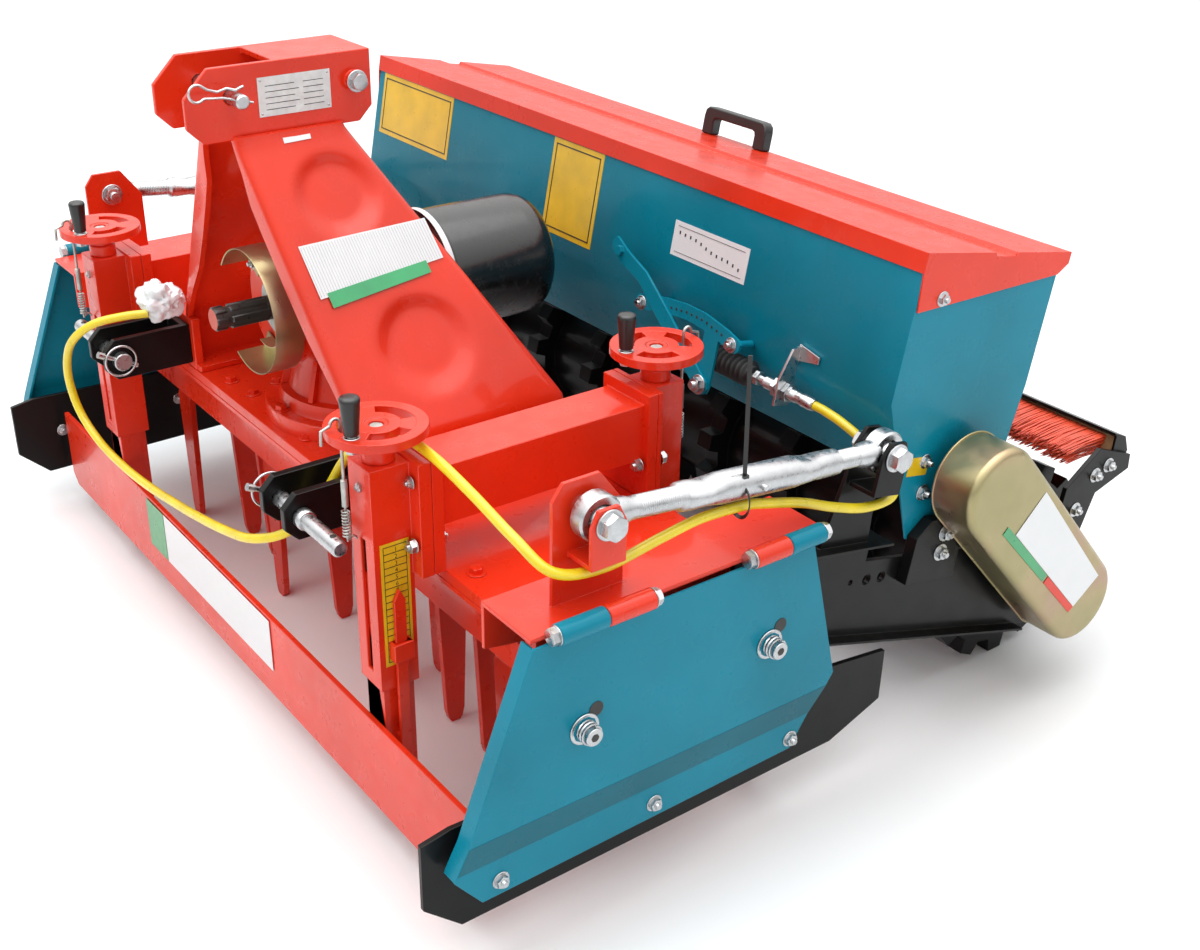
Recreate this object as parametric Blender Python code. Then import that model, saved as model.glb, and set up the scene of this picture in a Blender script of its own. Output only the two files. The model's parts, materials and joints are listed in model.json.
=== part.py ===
"""Combination seed drill: a power harrow with a tilting seeder unit behind it.

Frame: metres, +X to the machine's left (the chain side), -Y to the tractor, +Z up.
The harrow is modelled about the centre of its rotor trough. The seeder unit is modelled
in its own frame, whose origin is the tilt pivot, and is then turned about that pivot.
"""
import math

import bmesh
import bpy
from mathutils import Matrix, Vector

# Clearances
GAP = 0.0003
SHAFT_CLEARANCE = 0.0003
PIN_HEAD_PLAY = 0.0023

# Rotor trough
ROTOR_COUNT = 7
ROTOR_PITCH = 0.1727
ROTOR_Y = -0.235
TROUGH_HALF = 0.655
TROUGH_FRONT = -0.360
TROUGH_REAR = -0.030
TROUGH_WALL = 0.006
FLANGE_WIDTH = 0.0275
FLANGE_PLATE = 0.008
FLOOR_Z = 0.300
COVER_Z = 0.400
COVER_PLATE = 0.0157
BOLT_ACROSS = 0.0085

# Rotors
ROTOR_SHAFT_R = 0.020
ROTOR_HUB_R = 0.062
ROTOR_HUB_HEIGHT = 0.015
ROTOR_HUB_TOP = 0.2855
TINE_REACH = 0.050
TINE_WIDTH = 0.050
TINE_THICKNESS = 0.011
TINE_TIP_WIDTH = 0.014
TINE_BEND = 0.026
GEAR_TEETH = 12
GEAR_ADDENDUM = 0.0022
GEAR_DEDENDUM = 0.0042
GEAR_BASE = 0.318
GEAR_WIDTH = 0.020

# Gearbox and power take-off
GEARBOX_Y = -0.200
GEARBOX_BASE_R = 0.148
GEARBOX_BODY_R = 0.098
PTO_Z = 0.586
PTO_R = 0.0175
PTO_FRONT = -0.428
PTO_SPLINES = 6
PTO_SPLINE_DEPTH = 0.0025
BARREL_R = 0.075
BARREL_FRONT = -0.330
BARREL_REAR = -0.096
FRONT_FLANGE_R = 0.086
GUARD_R = 0.091
GUARD_SHEET = 0.003
GUARD_FRONT = -0.400
REAR_CAP_R = 0.094
REAR_CAP_END = 0.100

# Headstock tower
TOWER_FOOT_X = 0.300
TOWER_TOP_X = 0.0625
TOWER_KNEE_Z = 0.480
TOWER_SHOULDER_Z = 0.845
TOWER_TONGUE = 0.040
TOWER_TOP_Z = TOWER_SHOULDER_Z + TOWER_TONGUE
TOWER_SHEET = 0.008
TOWER_FRONT_FOOT = -0.358
TOWER_FRONT_TOP = -0.396
TOWER_REAR_FOOT = -0.034
TOWER_REAR_TOP = -0.235
CHANNEL_HALF = 0.054
CHANNEL_SHEET = 0.008
CHANNEL_FRONT = -0.457
CHANNEL_REAR = -0.189
CHANNEL_HEIGHT = 0.096
CHANNEL_BOTTOM = TOWER_SHOULDER_Z
CHANNEL_TOP = CHANNEL_BOTTOM + CHANNEL_HEIGHT
TOP_PIN_Y = -0.393
TOP_PIN_RISE = 0.057
TOP_PIN_Z = CHANNEL_BOTTOM + TOP_PIN_RISE
TOP_PIN_R = 0.0095

# Lower hitch
LOWER_PIN_Y = -0.476
LOWER_PIN_Z = 0.443
LOWER_PIN_R = 0.011
LOWER_PIN_END = 0.445
CLEVIS_INNER_X = 0.270
CLEVIS_OUTER_X = 0.343
CLEVIS_SHEET = 0.012
CLEVIS_HEIGHT = 0.065
CLEVIS_FRONT = -0.500
CLEVIS_BACK = -0.360

# Levellers, posts and their side beams
POST_X = 0.450
POST_FRONT_Y = -0.4207
POST_REAR_Y = 0.0026
POST_SIZE = 0.055
POST_WALL = 0.005
POST_BOTTOM = 0.240
POST_TOP = 0.553
INNER_TUBE = 0.0444
INNER_WALL = 0.004
INNER_TOP = 0.400
SPINDLE_R = 0.009
SPINDLE_BOTTOM = 0.300
WHEEL_Z = 0.595
WHEEL_R = 0.0628
WHEEL_THICKNESS = 0.014
WHEEL_COLLAR_R = 0.020
GRIP_RADIUS = 0.048
GRIP_HEIGHT = 0.052
LEVELLER_HALF = TROUGH_HALF + 0.035
LEVELLER_SHEET = 0.008
LEVELLER_BOTTOM = 0.047
LEVELLER_TOP = 0.187
LEVELLER_CHAMFER = 0.020
REAR_LEVELLER_HALF = TROUGH_HALF + 0.005
BEAM_HALF = 0.040
BEAM_BOTTOM = 0.460
BEAM_TOP = 0.540
BEAM_WALL = 0.005
JOINT_FLANGE = 0.016
JOINT_FLANGE_HALF = 0.050
JOINT_FLANGE_TOP = 0.556

# Side angles, shields and skids
SIDE_PLATE_X = TROUGH_HALF + 0.0005
SIDE_SHEET = 0.006
SIDE_FRONT = -0.410
SIDE_REAR = 0.030
SIDE_BOTTOM = 0.330
SIDE_TOP = 0.455
HINGE_X = SIDE_PLATE_X + 0.1125
HINGE_Z = 0.459
HINGE_ROD_R = 0.006
KNUCKLE_R = 0.0125
SHIELD_X = HINGE_X - 0.010
SHIELD_SHEET = 0.004
SKID_X = SIDE_PLATE_X + 0.0605
SKID_SHEET = 0.008
STUD_END = SHIELD_X + 0.027

# Turnbuckles
LINK_X = SIDE_PLATE_X + 0.0775
LINK_FRONT_Y = -0.307
LINK_FRONT_Z = 0.567
LINK_REAR_Y = 0.145
LINK_REAR_Z = 0.518
LINK_PIN_R = 0.008
LINK_EYE_R = 0.025
LINK_EYE_HALF = 0.0106
LINK_BALL_R = 0.0145
LINK_BALL_HALF = 0.0189
LINK_ROD_R = 0.0105
LINK_TUBE_R = 0.0175
LINK_TUBE_START = 0.122
LINK_TUBE_END = 0.369
LINK_OPEN_CLEARANCE = 0.0009
LUG_SHEET = 0.006
LINK_BOLT_END = LINK_X + 0.040

# Seeder unit, in its own frame about the tilt pivot
PIVOT_Y = -0.020
PIVOT_Z = 0.360
TILT_DEGREES = 10.7
PIVOT_R = 0.012
ARM_X = SIDE_PLATE_X + 0.0265
ARM_SHEET = 0.008
ARM_FLANGE_X = ARM_X + 0.048
ARM_LOWER_FLANGE_X = ARM_X + 0.028
ROLLER_Y = 0.620
ROLLER_Z = -0.083
ROLLER_R = 0.163
ROLLER_ROOT_R = 0.140
DRUM_R = 0.118
DRUM_HALF = ARM_X - 0.042
DRUM_WALL = 0.008
DRUM_RECESS = 0.030
DRUM_DISC = 0.010
AXLE_R = 0.015
RING_COUNT = 8
RING_WIDTH = 0.034
RING_SPAN = DRUM_HALF - 0.018
LUGS_PER_RING = 14
HOPPER_HALF = ARM_X + ARM_SHEET
HOPPER_SHEET = 0.003
HOPPER_FRONT = 0.184
HOPPER_REAR = 0.462
HOPPER_RIM = 0.410
HOPPER_CREASE = 0.227
SKIRT_Y = 0.240
SKIRT_Z = 0.112
THROAT_FRONT = 0.335
THROAT_REAR = 0.389
THROAT_Z = 0.168
METER_Y = 0.362
METER_Z = 0.117
METER_SHAFT_R = 0.0125
HOUSING_BOTTOM = 0.075
SEED_CELLS = 7
LID_SHEET = 0.0022
LID_SIDE_GAP = 0.0006
LID_SWING_GAP = 0.0008
LID_TOP = HOPPER_RIM + 0.0215
LID_FRONT = HOPPER_FRONT - LID_SIDE_GAP - LID_SHEET
LID_REAR = HOPPER_REAR + 0.0166
LID_FLANGE = 0.0275
LID_HINGE_Y = HOPPER_FRONT + 0.045
LID_HINGE_Z = HOPPER_RIM - 0.039
LID_HINGE_R = 0.006
HANDLE_LEFT = 0.088
HANDLE_RIGHT = -0.065
HANDLE_RISE = 0.046
HANDLE_LEG = 0.025
HANDLE_BAR = 0.017
HANDLE_FRONT = 0.455
HANDLE_REAR = 0.475
COVER_INNER_X = ARM_X + 0.028
COVER_OUTER_X = COVER_INNER_X + 0.070
COVER_UPPER = (0.352, 0.118)
CHAIN_COVER_R = 0.0675
LEVER_PIVOT = (0.3775, 0.149)
LEVER_PIN_R = 0.006
LEVER_DEGREES = 146.0
BELLOWS_Y = 0.170
BELLOWS_Z = 0.186
BELLOWS_START = 0.350
BELLOWS_END = 0.452
CABLE_ROD_R = 0.005
BRACKET_X = 0.515
CABLE_START_X = 0.575
CABLE_R = 0.0065
BRUSH_HALF = ARM_X - 0.022
BRUSH_STRANDS = 300

RED = ("red_paint", (0.62, 0.035, 0.012), 0.32, 0.0)
TEAL = ("teal_paint", (0.012, 0.20, 0.26), 0.34, 0.0)
BLACK = ("black_paint", (0.012, 0.012, 0.013), 0.38, 0.0)
ZINC = ("zinc_plate", (0.62, 0.63, 0.65), 0.34, 1.0)
GOLD = ("yellow_zinc", (0.50, 0.42, 0.20), 0.36, 1.0)
RUBBER = ("black_rubber", (0.015, 0.015, 0.015), 0.70, 0.0)
BRISTLE = ("orange_bristle", (0.80, 0.12, 0.05), 0.60, 0.0)
CABLE = ("yellow_sheath", (0.75, 0.62, 0.02), 0.35, 0.0)


# Basic tools

def material(spec):
    """Return the named material, making it the first time it is asked for."""
    name, colour, roughness, metallic = spec
    found = bpy.data.materials.get(name)
    if found:
        return found
    made = bpy.data.materials.new(name)
    made.use_nodes = True
    shader = made.node_tree.nodes["Principled BSDF"]
    shader.inputs["Base Color"].default_value = (*colour, 1.0)
    shader.inputs["Roughness"].default_value = roughness
    shader.inputs["Metallic"].default_value = metallic
    made.diffuse_color = (*colour, 1.0)
    return made


def object_from(points, faces):
    """Make a mesh object from points and faces, with its faces pointing out."""
    mesh = bpy.data.meshes.new("shape")
    mesh.from_pydata([tuple(p) for p in points], [], faces)
    work = bmesh.new()
    work.from_mesh(mesh)
    bmesh.ops.recalc_face_normals(work, faces=work.faces)
    if work.calc_volume(signed=True) < 0:
        bmesh.ops.reverse_faces(work, faces=work.faces)
    work.to_mesh(mesh)
    work.free()
    made = bpy.data.objects.new("shape", mesh)
    bpy.context.scene.collection.objects.link(made)
    return made


def loft(loops, closed=False):
    """Skin a row of loops that have the same number of points."""
    count = len(loops[0])
    points = [p for loop in loops for p in loop]
    faces = []
    last = len(loops) if closed else len(loops) - 1
    for i in range(last):
        a = i * count
        b = ((i + 1) % len(loops)) * count
        for j in range(count):
            k = (j + 1) % count
            faces.append((a + j, a + k, b + k, b + j))
    if not closed:
        faces.append(tuple(range(count))[::-1])
        faces.append(tuple(range(len(points) - count, len(points))))
    return object_from(points, faces)


def on_axis(axis, along, u, v):
    """Place a point given along an axis and on the plane across it."""
    if axis == "X":
        return (along, u, v)
    if axis == "Y":
        return (u, along, v)
    return (u, v, along)


def prism(axis, outline, low, high):
    """Extrude an outline, given on the plane across the axis, from low to high."""
    return loft([[on_axis(axis, level, u, v) for u, v in outline] for level in (low, high)])


def box(x0, x1, y0, y1, z0, z1):
    """Make a box from its six limits."""
    return prism("Z", [(x0, y0), (x1, y0), (x1, y1), (x0, y1)], z0, z1)


def circle(radius, sides, centre=(0.0, 0.0), start=0.0):
    """List the corners of a regular polygon."""
    corners = []
    for i in range(sides):
        angle = start + 2 * math.pi * i / sides
        corners.append((centre[0] + radius * math.cos(angle), centre[1] + radius * math.sin(angle)))
    return corners


def sides_for(radius):
    """Return an even number of sides that suits a radius."""
    return 2 * round((7 + 160 * radius) / 2)


def rod(axis, centre, radius, low, high, sides=None):
    """Make a round bar along an axis; its centre lies on the plane across the axis."""
    return prism(axis, circle(radius, sides or sides_for(radius), centre), low, high)


def bore(axis, centre, radius, low, high, clearance=SHAFT_CLEARANCE):
    """Make the cutter of a bore in which a round bar of the given radius turns freely."""
    sides = sides_for(radius)
    flat = math.pi / sides
    return prism(axis, circle((radius + clearance) / math.cos(flat), sides, centre, flat), low, high)


def turned(axis, centre, profile, sides=None):
    """Turn a closed profile of (along, radius) pairs, all with a radius above nought."""
    loops = []
    sides = sides or sides_for(max(r for _, r in profile))
    for i in range(sides):
        angle = 2 * math.pi * i / sides
        loops.append([on_axis(axis, along, centre[0] + r * math.cos(angle), centre[1] + r * math.sin(angle))
                      for along, r in profile])
    return loft(loops, closed=True)


def stepped(axis, centre, steps, sides=None):
    """Make a solid turned bar from (along, radius) pairs, capped at both ends."""
    sides = sides or sides_for(max(r for _, r in steps))
    return loft([[on_axis(axis, along, u, v) for u, v in circle(r, sides, centre)] for along, r in steps])


def hex_head(axis, centre, low, high, across=BOLT_ACROSS):
    """Make a hexagonal bolt head."""
    return prism(axis, circle(across, 6, centre), low, high)


def combine(target, other, operation):
    """Join or cut two shapes into the first one, and remove the second."""
    modifier = target.modifiers.new("combine", "BOOLEAN")
    modifier.operation = operation
    modifier.solver = "EXACT"
    modifier.object = other
    bpy.context.view_layer.update()
    graph = bpy.context.evaluated_depsgraph_get()
    result = bpy.data.meshes.new_from_object(target.evaluated_get(graph))
    target.modifiers.clear()
    target.data = result
    bpy.data.objects.remove(other)
    return target


def union(first, *others):
    """Fuse shapes into one."""
    for other in others:
        combine(first, other, "UNION")
    return first


def cut(first, *others):
    """Cut shapes out of the first one."""
    for other in others:
        combine(first, other, "DIFFERENCE")
    return first


def gather(shapes):
    """Put shapes that lie apart into one mesh, so that they are fused or cut in one step."""
    work = bmesh.new()
    for shape in shapes:
        work.from_mesh(shape.data)
        bpy.data.objects.remove(shape)
    mesh = bpy.data.meshes.new("shapes")
    work.to_mesh(mesh)
    work.free()
    made = bpy.data.objects.new("shapes", mesh)
    bpy.context.scene.collection.objects.link(made)
    return made


def moved(shape, function):
    """Move every point of a shape by a function."""
    for vertex in shape.data.vertices:
        vertex.co = Vector(function(*vertex.co))
    return shape


def finish(name, shape, spec, parent, origin=(0.0, 0.0, 0.0), smooth=False, turn=0.0):
    """Name a shape, put its origin on its axis and give it its material and parent."""
    shape.name = name
    shape.data.name = name
    shape.data.transform(Matrix.Translation(-Vector(origin)))
    shape.location = origin
    shape.rotation_euler.x = turn
    shape.parent = parent
    shape.data.materials.clear()
    shape.data.materials.append(material(spec))
    if smooth:
        shape.data.shade_smooth()
        shape.data.set_sharp_from_angle(angle=math.radians(32))
    return shape


def mirror_of(shape, name):
    """Make the mirror image of a finished piece on the machine's other side."""
    work = bmesh.new()
    work.from_mesh(shape.data)
    bmesh.ops.scale(work, vec=(-1.0, 1.0, 1.0), verts=work.verts)
    bmesh.ops.reverse_faces(work, faces=work.faces)
    mesh = bpy.data.meshes.new(name)
    work.to_mesh(mesh)
    work.free()
    mesh.materials.append(shape.data.materials[0])
    other = bpy.data.objects.new(name, mesh)
    bpy.context.scene.collection.objects.link(other)
    other.location = (-shape.location.x, shape.location.y, shape.location.z)
    other.rotation_euler = shape.rotation_euler
    other.parent = shape.parent
    return other


def pair(name, shape, spec, parent, **options):
    """Finish a piece of the left side and make its mirror image on the right."""
    left = finish(name + "_left", shape, spec, parent, **options)
    return left, mirror_of(left, name + "_right")


def empty(name, parent=None, location=(0.0, 0.0, 0.0)):
    """Add an empty that carries other pieces."""
    made = bpy.data.objects.new(name, None)
    made.location = location
    made.parent = parent
    bpy.context.scene.collection.objects.link(made)
    return made


# Harrow: trough, rotors and gearbox

def rotor_places():
    """List the rotors' X positions, from right to left."""
    middle = (ROTOR_COUNT - 1) / 2
    return [(i - middle) * ROTOR_PITCH for i in range(ROTOR_COUNT)]


def build_trough(frame):
    """Build the gear trough under its cover, with a bored hub for each rotor."""
    flange_top = COVER_Z - COVER_PLATE - GAP
    inner_front = TROUGH_FRONT + FLANGE_WIDTH + TROUGH_WALL
    inner_rear = TROUGH_REAR - FLANGE_WIDTH - TROUGH_WALL
    inner_half = TROUGH_HALF - TROUGH_WALL - 0.002
    shape = box(-inner_half - TROUGH_WALL, inner_half + TROUGH_WALL, inner_front - TROUGH_WALL,
                inner_rear + TROUGH_WALL, FLOOR_Z, flange_top)
    union(shape, box(-TROUGH_HALF, TROUGH_HALF, TROUGH_FRONT, TROUGH_REAR, flange_top - FLANGE_PLATE,
                     flange_top))
    hubs = [stepped("Z", (x, ROTOR_Y), [(ROTOR_HUB_TOP + GAP, 0.050), (FLOOR_Z + 0.003, 0.064)], 16)
            for x in rotor_places()]
    union(shape, gather(hubs))
    cut(shape, box(-inner_half, inner_half, inner_front, inner_rear, FLOOR_Z + TROUGH_WALL, COVER_Z))
    bores = [bore("Z", (x, ROTOR_Y), ROTOR_SHAFT_R, 0.2, COVER_Z) for x in rotor_places()]
    cut(shape, gather(bores))
    return finish("gear_trough", shape, RED, frame)


def build_cover(frame):
    """Build the trough's cover plate."""
    shape = box(-TROUGH_HALF, TROUGH_HALF, TROUGH_FRONT, TROUGH_REAR, COVER_Z - COVER_PLATE, COVER_Z)
    return finish("trough_cover", shape, RED, frame)


def gear_outline(phase):
    """List the corners of a gear whose teeth have room to pass at every angle."""
    pitch_r = ROTOR_PITCH / 2
    step = 2 * math.pi / GEAR_TEETH
    corners = []
    for i in range(GEAR_TEETH):
        middle = phase + i * step
        for offset, radius in ((-0.25, pitch_r - GEAR_DEDENDUM), (-0.11, pitch_r + GEAR_ADDENDUM),
                               (0.11, pitch_r + GEAR_ADDENDUM), (0.25, pitch_r - GEAR_DEDENDUM)):
            angle = middle + offset * step
            corners.append((radius * math.cos(angle), radius * math.sin(angle)))
    return corners


def tine_strap():
    """Bend a flat bar into a U that opens downward, with both ends drawn to rounded tips."""
    strap_z = ROTOR_HUB_TOP - ROTOR_HUB_HEIGHT - TINE_THICKNESS / 2
    bend_z = strap_z - TINE_BEND
    stations = [(0.0, TINE_TIP_WIDTH), (0.006, 0.023), (0.020, 0.030), (0.110, 0.038), (bend_z, TINE_WIDTH)]
    path = [(-TINE_REACH, z, 0.0, width) for z, width in stations]
    bend_steps = 3
    for i in range(1, bend_steps + 1):
        angle = math.pi / 2 * i / bend_steps
        path.append((-TINE_REACH + TINE_BEND * (1 - math.cos(angle)), bend_z + TINE_BEND * math.sin(angle),
                     angle, TINE_WIDTH))
    loops = []
    half = TINE_THICKNESS / 2
    for x, z, angle, width in path:
        dx = -math.cos(angle) * half
        dz = math.sin(angle) * half
        loops.append([(x + dx, -width / 2, z + dz), (x + dx, width / 2, z + dz),
                      (x - dx, width / 2, z - dz), (x - dx, -width / 2, z - dz)])
    other_half = [[(-p[0], p[1], p[2]) for p in loop] for loop in reversed(loops)]
    return loft(loops + other_half)


def build_rotors(frame):
    """Build each rotor: gear, shaft, hub flange and tine strap, a quarter turn between neighbours."""
    step = 2 * math.pi / GEAR_TEETH
    for index, x in enumerate(rotor_places()):
        odd = (index - (ROTOR_COUNT - 1) // 2) % 2
        strap_z = ROTOR_HUB_TOP - ROTOR_HUB_HEIGHT - TINE_THICKNESS
        steps = [(strap_z, 0.022), (ROTOR_HUB_TOP - ROTOR_HUB_HEIGHT, 0.022),
                 (ROTOR_HUB_TOP - ROTOR_HUB_HEIGHT, ROTOR_HUB_R), (ROTOR_HUB_TOP - 0.003, ROTOR_HUB_R),
                 (ROTOR_HUB_TOP, ROTOR_HUB_R - 0.003), (ROTOR_HUB_TOP, ROTOR_SHAFT_R)]
        shape = stepped("Z", (0.0, 0.0), steps, 14)
        union(shape, rod("Z", (0.0, 0.0), ROTOR_SHAFT_R, ROTOR_HUB_TOP - 0.001, 0.372))
        strap = tine_strap()
        if odd:
            strap.data.transform(Matrix.Rotation(math.pi / 2, 4, "Z"))
        union(shape, strap)
        union(shape, prism("Z", gear_outline(step / 2 * odd), GEAR_BASE, GEAR_BASE + GEAR_WIDTH))
        shape.data.transform(Matrix.Translation((x, ROTOR_Y, 0.0)))
        finish("rotor_%d" % (index + 1), shape, RED, frame, origin=(x, ROTOR_Y, FLOOR_Z), smooth=True)


def build_gearbox(frame):
    """Build the bevel gearbox housing on the cover, bored for the input shaft."""
    centre = (0.0, GEARBOX_Y)
    shape = stepped("Z", centre, [(COVER_Z + GAP, GEARBOX_BASE_R), (0.424, GEARBOX_BASE_R),
                                  (0.426, GEARBOX_BASE_R - 0.002), (0.426, 0.126), (0.446, 0.122),
                                  (0.446, 0.112), (0.500, GEARBOX_BODY_R), (0.640, GEARBOX_BODY_R - 0.012),
                                  (0.668, 0.062), (0.674, 0.030)], 28)
    barrel = stepped("Y", (0.0, PTO_Z), [(BARREL_FRONT, FRONT_FLANGE_R), (BARREL_FRONT + 0.016, FRONT_FLANGE_R),
                                         (BARREL_FRONT + 0.016, BARREL_R), (BARREL_REAR, BARREL_R)], 24)
    union(shape, barrel)
    union(shape, stepped("Z", (0.055, GEARBOX_Y + 0.030), [(0.640, 0.012), (0.676, 0.012), (0.678, 0.008)], 8))
    chamber = GEARBOX_BODY_R - 0.016
    cut(shape, rod("Z", centre, chamber, COVER_Z - 0.01, 0.625, 18))
    cut(shape, rod("Y", (0.0, PTO_Z), BARREL_R - 0.012, BARREL_FRONT + 0.025, BARREL_REAR - 0.012, 16))
    cut(shape, bore("Y", (0.0, PTO_Z), PTO_R, BARREL_FRONT - 0.01, GEARBOX_Y))
    return finish("gearbox_housing", shape, RED, frame, smooth=True)


def build_pto(frame):
    """Build the splined input shaft, its half guard and the cap over the rear outlet."""
    splines = []
    for i in range(PTO_SPLINES * 4):
        angle = 2 * math.pi * i / (PTO_SPLINES * 4)
        radius = PTO_R if i % 4 < 2 else PTO_R - PTO_SPLINE_DEPTH
        splines.append((radius * math.cos(angle), PTO_Z + radius * math.sin(angle)))
    shape = prism("Y", splines, PTO_FRONT, BARREL_FRONT - 0.012)
    union(shape, stepped("Y", (0.0, PTO_Z), [(BARREL_FRONT - 0.016, PTO_R), (GEARBOX_Y - 0.001, PTO_R)]))
    finish("pto_shaft", shape, ZINC, frame, origin=(0.0, PTO_FRONT, PTO_Z), smooth=True)

    back = BARREL_FRONT - GAP
    profile = [(GUARD_FRONT, GUARD_R - GUARD_SHEET), (GUARD_FRONT, GUARD_R), (back, GUARD_R),
               (back, 0.060), (back - GUARD_SHEET, 0.060), (back - GUARD_SHEET, GUARD_R - GUARD_SHEET)]
    guard = turned("Y", (0.0, PTO_Z), profile, 24)
    open_side = [(-0.12, PTO_Z - 0.12), (0.12, PTO_Z - 0.12), (0.12, PTO_Z - 0.045), (-0.12, PTO_Z - 0.045)]
    cut(guard, prism("Y", open_side, GUARD_FRONT - 0.01, back - 0.006))
    slots = []
    for i in range(3):
        angle = math.radians(45 * i + 45)
        slot = box(-0.009, 0.009, GUARD_FRONT + 0.016, back - 0.016, 0.07, 0.11)
        slot.data.transform(Matrix.Rotation(math.pi / 2 - angle, 4, "Y"))
        slot.data.transform(Matrix.Translation((0.0, 0.0, PTO_Z)))
        slots.append(slot)
    cut(guard, gather(slots))
    finish("pto_guard", guard, GOLD, frame, smooth=True)

    start = BARREL_REAR + GAP
    cap = stepped("Y", (0.0, PTO_Z), [(start, REAR_CAP_R + 0.004), (start + 0.014, REAR_CAP_R + 0.004),
                                      (start + 0.014, REAR_CAP_R), (REAR_CAP_END - 0.012, REAR_CAP_R - 0.006),
                                      (REAR_CAP_END, REAR_CAP_R - 0.018)], 24)
    cut(cap, rod("Y", (0.0, PTO_Z), REAR_CAP_R - 0.022, start - 0.01, REAR_CAP_END - 0.006, 16))
    finish("rear_pto_cap", cap, RUBBER, frame, smooth=True)


# Harrow: headstock and hitch

def tower_x(z):
    """Return the tower plate's outer X at a height."""
    share = (z - TOWER_KNEE_Z) / (TOWER_SHOULDER_Z - TOWER_KNEE_Z)
    share = min(max(share, 0.0), 1.0)
    return TOWER_FOOT_X + (TOWER_TOP_X - TOWER_FOOT_X) * share


def tower_front(z):
    """Return the tower plate's front edge Y at a height."""
    share = max((z - TOWER_KNEE_Z) / (TOWER_SHOULDER_Z - TOWER_KNEE_Z), 0.0)
    return TOWER_FRONT_FOOT + (TOWER_FRONT_TOP - TOWER_FRONT_FOOT) * min(share, 1.0)


def tower_rear(z):
    """Return the tower plate's rear edge Y at a height."""
    share = max((z - TOWER_KNEE_Z) / (TOWER_SHOULDER_Z - TOWER_KNEE_Z), 0.0)
    return TOWER_REAR_FOOT + (TOWER_REAR_TOP - TOWER_REAR_FOOT) * min(share, 1.0)


def build_tower(frame):
    """Build the two folded side plates of the headstock, each with a foot and a front flange."""
    foot = COVER_Z + GAP
    loops = []
    for z in (foot, TOWER_KNEE_Z, 0.60, 0.72, TOWER_SHOULDER_Z, TOWER_TOP_Z):
        x = tower_x(z)
        y0, y1 = tower_front(z), tower_rear(z)
        loops.append([(x - TOWER_SHEET, y0, z), (x, y0, z), (x, y1, z), (x - TOWER_SHEET, y1, z)])
    shape = loft(loops)
    union(shape, box(TOWER_FOOT_X - 0.055, TOWER_FOOT_X + 0.038, TOWER_FRONT_FOOT, TOWER_REAR_FOOT, foot,
                     foot + 0.010))
    flange = []
    outer = [(foot, 0.004), (TOWER_KNEE_Z, 0.004), (0.60, 0.004), (0.72, 0.004), (TOWER_SHOULDER_Z - 0.004, 0.004)]
    inner = [(0.840, 0.012), (0.800, 0.030), (0.760, 0.048), (0.720, 0.050), (0.660, 0.050), (0.600, 0.046),
             (0.545, 0.030), (0.500, 0.018), (foot, 0.016)]
    for z, inset in outer:
        flange.append((tower_x(z) - inset, z))
    for z, inset in inner:
        flange.append((tower_x(z) - inset, z))
    face = prism("Y", flange, 0.0, TOWER_SHEET)
    moved(face, lambda x, y, z: (x, y + tower_front(z), z))
    union(shape, face)
    front_pad = box(CLEVIS_INNER_X - 0.010, CLEVIS_OUTER_X - 0.005, CLEVIS_BACK + GAP, TOWER_FRONT_FOOT + 0.012,
                    foot, 0.486)
    union(shape, front_pad)
    pair("tower", shape, RED, frame)


def build_top_hitch(frame):
    """Build the top link channel, its bolt at the rear and the pin at the front."""
    front, rear, low, high = CHANNEL_FRONT, CHANNEL_REAR, CHANNEL_BOTTOM, CHANNEL_TOP
    side = [(front + 0.022, low), (rear - 0.020, low), (rear, low + 0.020), (rear, high), (front + 0.035, high),
            (front, high - 0.035), (front, low + 0.022)]
    shape = prism("X", side, -CHANNEL_HALF, CHANNEL_HALF)
    inner = CHANNEL_HALF - CHANNEL_SHEET
    roof_front = -0.330
    cut(shape, box(-inner, inner, front - 0.01, roof_front, low - 0.01, high + 0.01))
    cut(shape, box(-inner, inner, roof_front - 0.001, rear + 0.01, low - 0.01, high - CHANNEL_SHEET))
    bolt_end = CHANNEL_HALF + 0.010
    union(shape, rod("X", (-0.216, TOP_PIN_Z), 0.008, -bolt_end, bolt_end, 10))
    union(shape, rod("X", (-0.216, TOP_PIN_Z), 0.013, CHANNEL_HALF - 0.002, bolt_end, 10))
    cut(shape, bore("X", (TOP_PIN_Y, TOP_PIN_Z), TOP_PIN_R, -0.1, 0.1))
    finish("top_hitch_channel", shape, RED, frame)

    start = CHANNEL_HALF + PIN_HEAD_PLAY
    pin = stepped("X", (TOP_PIN_Y, TOP_PIN_Z), [(-start - 0.008, 0.015), (-start, 0.015), (-start, TOP_PIN_R),
                                                (0.088, TOP_PIN_R), (0.091, TOP_PIN_R - 0.002)], sides_for(TOP_PIN_R))
    clip = turned("Z", (0.074, TOP_PIN_Y), [(TOP_PIN_Z - 0.002, 0.013), (TOP_PIN_Z + 0.002, 0.013),
                                            (TOP_PIN_Z + 0.002, 0.017), (TOP_PIN_Z - 0.002, 0.017)], 10)
    union(pin, clip)
    union(pin, box(0.072, 0.076, TOP_PIN_Y - 0.015, TOP_PIN_Y + 0.015, TOP_PIN_Z - 0.002, TOP_PIN_Z + 0.002))
    finish("top_link_pin", pin, ZINC, frame)


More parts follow.
